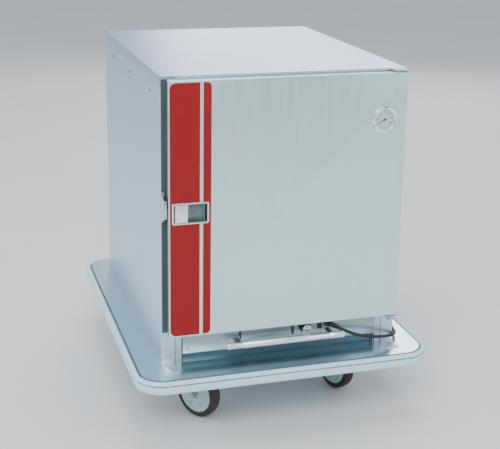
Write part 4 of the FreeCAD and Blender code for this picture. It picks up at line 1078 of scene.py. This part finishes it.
    low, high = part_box("power_switch")
    middle = (low + high) / 2
    panel_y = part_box("control_panel")[0].y
    bm = bmesh.new()
    add_prism(bm, rounded(12 * MM, 19 * MM, 2 * MM), 0, 1.4 * MM, front(middle.x, panel_y, middle.z),
        0.4 * MM)
    rim = from_bmesh("switch_rim", bm, "black_plastic", "heat_module")
    rim.parent = panel
    pivot = joints["switch_rock"]["pos_m"]
    rest = math.radians(8)
    line = [(-6.6, 3.0), (-5.8, 4.4), (-3.4, 5.2), (0, 4.9), (3.4, 5.2), (5.8, 4.4), (6.6, 3.0)]
    bm = bmesh.new()
    outline = [Vector((a * MM, b * MM)) for a, b in line] + [Vector((6.4 * MM, 0.5 * MM)),
        Vector((-6.4 * MM, 0.5 * MM))]
    turned = Matrix.Translation((middle.x, pivot[1], pivot[2])) @ Matrix.Rotation(rest, 4, "X")
    swap = Matrix(((0, 0, 1, 0), (0, -1, 0, 0), (1, 0, 0, 0), (0, 0, 0, 1)))
    add_prism(bm, outline, -3.7 * MM, 3.7 * MM, turned @ swap, 0.5 * MM)
    rocker = from_bmesh("switch_rocker", bm, "black_plastic", "power_switch")
    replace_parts(rocker, "power_switch")

    low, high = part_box("cord_gland")
    boss = Vector((low.x + 9.5 * MM, high.y, high.z - 9.5 * MM))
    nose = Vector((0.88, -0.20, -0.43)).normalized()
    tip = Vector((148.9, -372.8, 239.4)) * MM
    bm = bmesh.new()
    ring_out = [(9.4, 0), (9.4, 3.2), (8.6, 4.2), (7.6, 4.6), (7.4, 11), (6.4, 13.4), (0, 14)]
    add_lathe(bm, mm(ring_out), along(-Y, boss), 40)
    relief = mm([(0, 1), (6.4, 1)])
    for i in range(7):
        at = (4 + 3.9 * i) * MM
        radius = (6.5 - 0.27 * i) * MM
        relief += [(radius, at), (radius, at + 2.3 * MM), (radius - 0.9 * MM, at + 2.6 * MM),
            (radius - 0.9 * MM, at + 3.5 * MM)]
    relief += mm([(4.7, 31.6), (4.5, 33.6), (4.05, 34)])
    add_lathe(bm, relief, along(nose, tip - nose * 34 * MM), 32)
    gland = from_bmesh("strain_relief", bm, "black_plastic", "heat_module")
    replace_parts(gland, "cord_gland")


# ---------------------------------------------------------------- casters
def make_casters():
    swivels = {}
    plates = bmesh.new()
    bolts = bmesh.new()
    plate_low, plate_high = (v.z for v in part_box("caster_plates"))
    for corner in ("front_left", "front_right", "rear_left", "rear_right"):
        tyre_low, tyre_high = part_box(f"{corner}_tyre")
        hub = (tyre_low + tyre_high) / 2
        anchor = next(j["pos_m"] for j in joints.values() if j["child"] == f"{corner}_caster")
        stem = Vector((anchor[0], anchor[1], 0))
        way = Vector((hub.x - stem.x, hub.y - stem.y, 0)).normalized()
        swivels[corner] = (stem, way, hub)
        add_prism(plates, rounded_box(stem.x - 52 * MM, stem.y - 42 * MM, stem.x + 52 * MM,
            stem.y + 42 * MM, 9 * MM), plate_low, plate_high, Matrix(), 0.8 * MM)
        for dx in (-41 * MM, 41 * MM):
            for dy in (-31 * MM, 31 * MM):
                at = (stem.x + dx, stem.y + dy, plate_low)
                add_prism(bolts, hexagon(13 * MM), 0.9 * MM, 5 * MM, along(-Z, at), 0.7 * MM)
                add_lathe(bolts, mm([(7.4, 0), (7.4, 0.9), (0, 0.9)]), along(-Z, at), 24)
    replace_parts(from_bmesh("swivel_plates", plates, "zinc_plate", "cabinet"), "caster_plates")
    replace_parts(from_bmesh("swivel_bolts", bolts, "zinc_plate", "cabinet"), "caster_bolts")
    for corner, (stem, way, hub) in swivels.items():
        across = Z.cross(way)
        local = Matrix.Translation(stem) @ Matrix(((way.x, across.x, 0, 0), (way.y, across.y, 0, 0),
            (0, 0, 1, 0), (0, 0, 0, 1)))
        braked = f"{corner}_brake_pedal" in nodes
        make_fork(corner, local, hub.z, braked)
        make_wheel(corner, Matrix.Translation(hub) @ along(across, (0, 0, 0)))
        if braked:
            make_pedal(corner, local)


def make_fork(corner, local, axle_z, braked):
    """A pressed fork: crown, raceway, two legs, axle bolt, nut and kingpin."""
    legs_y = ((-22, -19), (19, 22))
    turn = Matrix.Rotation(math.pi / 2, 4, "X")
    bm = bmesh.new()
    leg = [(-26, 133, 2), (-26, 126, 8), (27, axle_z / MM - 9, 8), (45, axle_z / MM - 9, 8.5),
        (46, axle_z / MM + 10, 8), (38, 130, 8), (38, 133, 2)]
    outline = rounded_polygon(mm3(leg), 5)
    for near, far in legs_y:
        add_prism(bm, outline, -far * MM, -near * MM, local @ turn, 0.9 * MM)
        if braked:
            ear = [(30, 133, 2), (45, 104, 6), (86, 112, 4), (86, 128, 4), (60, 134, 8)]
            add_prism(bm, rounded_polygon(mm3(ear), 4), -far * MM, -near * MM, local @ turn, 0.8 * MM)
    crown = [(38, -22, 7), (38, 22, 7), (-26, 22, 12), (-26, -22, 12)]
    add_prism(bm, rounded_polygon(mm3(crown), 5), 130 * MM, 134 * MM, local, 1.1 * MM)
    race = [(0, 133.6), (29, 133.8), (29, 135.2), (28.2, 136.2), (27.0, 136.8), (27.6, 137.6),
        (27.2, 139.2), (25.4, 141.0), (24, 141.4), (0, 141.4)]
    add_lathe(bm, mm(race), local, 64)
    add_lathe(bm, mm([(7, 141), (7, 145.4), (6.4, 145.6), (0, 145.6)]), local, 32)
    side = local @ turn @ Matrix.Translation((36 * MM, axle_z, 0))
    for sign in (-1, 1):
        out = side @ Matrix.Rotation(0 if sign > 0 else math.pi, 4, "X")
        add_lathe(bm, mm([(7.6, 21.9), (7.6, 22.9), (0, 22.9)]), out, 32)
        add_prism(bm, hexagon(12 * MM), 22.8 * MM, 26.8 * MM, out, 0.7 * MM)
    add_lathe(bm, mm([(5, -21), (5, 21)]), side, 24)
    fork = from_bmesh(f"{corner}_swivel_fork", bm, "zinc_plate", f"{corner}_caster", sharp=40)
    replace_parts(fork, f"{corner}_fork")


def make_wheel(corner, matrix):
    """A dished plastic hub with a ribbed web, and a soft tread bonded round it."""
    body = f"{corner}_rolling"
    outline = [(5.1, -17.4), (12.6, -17.4), (13.8, -16.8), (14.4, -15.2), (16.4, -13.9), (20, -12.4),
        (30, -11.2), (37, -11.2), (39.6, -12.4), (41.2, -14.6), (42.6, -15.2), (46, -15.2), (47.8, -14.6),
        (48.9, -13)]
    outline += [(r, -h) for r, h in reversed(outline)]
    hub = lathe(f"{corner}_hub", mm(outline), matrix, "hub_plastic", body, 96, closed=True)
    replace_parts(hub, f"{corner}_wheel")
    bm = bmesh.new()
    for side in (-1, 1):
        face = matrix @ Matrix.Rotation(0 if side > 0 else math.pi, 4, "X")
        add_lathe(bm, mm([(13.2, 17.0), (13.0, 17.45), (9.4, 17.45), (9.2, 16.8)]), face, 40)
        for i in range(6):
            spoke = face @ Matrix.Rotation(math.pi / 3 * i, 4, "Z")
            corners = mm([(15.4, -1.3), (38.4, -1.0), (38.4, 1.0), (15.4, 1.3)])
            add_prism(bm, [Vector(p) for p in corners], 10 * MM, 12.8 * MM, spoke, 0.4 * MM)
    ribs = from_bmesh(f"{corner}_ribs", bm, "hub_plastic", body)
    ribs.parent = hub
    tread = [(49, -13.8), (51, -15.6), (54, -16), (57.4, -15.3), (60.2, -13), (61.9, -9.6), (62.9, -5.4),
        (63.45, 0)]
    tread += [(r, -h) for r, h in reversed(tread[:-1])]
    tyre = lathe(f"{corner}_tread", mm(tread), matrix, "wheel_tread", body, 96, closed=True)
    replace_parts(tyre, f"{corner}_tyre")


def make_pedal(corner, local):
    """A pressed brake pedal with a ridged toe plate."""
    turn = Matrix.Rotation(math.pi / 2, 4, "X")
    line = [(72.5, 122.6), (77, 123.4), (82, 122.4), (92, 121.8), (116, 121.9), (121, 122.6), (124, 125),
        (125.2, 128)]
    line = [Vector(p) * MM for p in reversed(line)]
    half = 18.4 * MM
    bm = bmesh.new()
    add_ribbon(bm, line, 3.4 * MM, -half, half, lambda x, y, h: local @ turn @ Vector((x, y, h)))
    for i in range(5):
        x = (96 + 4.6 * i) * MM
        add_lathe(bm, mm([(0, -15), (1.1, -14.6), (1.1, 14.6), (0, 15)]),
            local @ turn @ Matrix.Translation((x, 122.0 * MM, 0)), 10)
    shoe = rounded_box(84 * MM, 108.7 * MM, 90 * MM, 119 * MM, 1.5 * MM)
    add_prism(bm, shoe, -11 * MM, 11 * MM, local @ turn, 0.6 * MM)
    add_lathe(bm, mm([(0, -24), (2.6, -24), (3, -23.4), (3, 23.4), (2.6, 24), (0, 24)]),
        local @ turn @ Matrix.Translation((78 * MM, 120 * MM, 0)), 24)
    pedal = from_bmesh(f"{corner}_foot_brake", bm, "brake_red", f"{corner}_brake", sharp=40)
    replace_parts(pedal, f"{corner}_brake_pedal")


make_shell()
make_jambs()
make_hinges()
make_door()
make_latch()
make_thermometer()
make_platform()
make_module()
make_casters()


# ---------------------------------------------------------------- stage
def add_area(name, place, target, size, power, color=(1, 1, 1)):
    data = bpy.data.lights.new(name, "AREA")
    data.shape = "RECTANGLE"
    data.size, data.size_y = size
    data.energy = power
    data.color = color
    light = bpy.data.objects.new(name, data)
    light.location = place
    light.rotation_euler = (Vector(target) - Vector(place)).to_track_quat("-Z", "Y").to_euler()
    scene.collection.objects.link(light)


def make_stage():
    """A pale floor, a soft world and five large lights."""
    bm = bmesh.new()
    bmesh.ops.create_grid(bm, x_segments=1, y_segments=1, size=14)
    mesh = bpy.data.meshes.new("floor")
    bm.to_mesh(mesh)
    bm.free()
    floor = bpy.data.objects.new("floor", mesh)
    scene.collection.objects.link(floor)
    shader = Shader("floor", (0.80, 0.81, 0.82), roughness=0.75)
    shader.vary_color(shader.noise(1.5, detail=2), 0.98, 1.02)
    mesh.materials.append(shader.material)
    world = bpy.data.worlds.new("studio")
    scene.world = world
    world.use_nodes = True
    background = world.node_tree.nodes["Background"]
    background.inputs["Color"].default_value = (0.80, 0.86, 0.93, 1)
    background.inputs["Strength"].default_value = 0.72
    add_area("key", (-1.6, -3.4, 3.6), (0, -0.2, 0.5), (2.6, 2.0), 130, (1.0, 0.985, 0.96))
    add_area("fill", (3.6, -2.6, 2.0), (0, -0.2, 0.5), (2.2, 2.2), 45, (0.97, 0.98, 1.0))
    add_area("left", (-4.2, 0.6, 2.2), (0, 0, 0.5), (3.0, 2.4), 70, (0.93, 0.97, 1.0))
    add_area("overhead", (0.2, 0.6, 4.2), (0, 0, 0.8), (2.6, 2.6), 60)
    add_area("back", (2.2, 4.2, 2.2), (0.1, 0.1, 0.8), (3.4, 1.8), 58, (0.97, 0.98, 1.0))


make_stage()
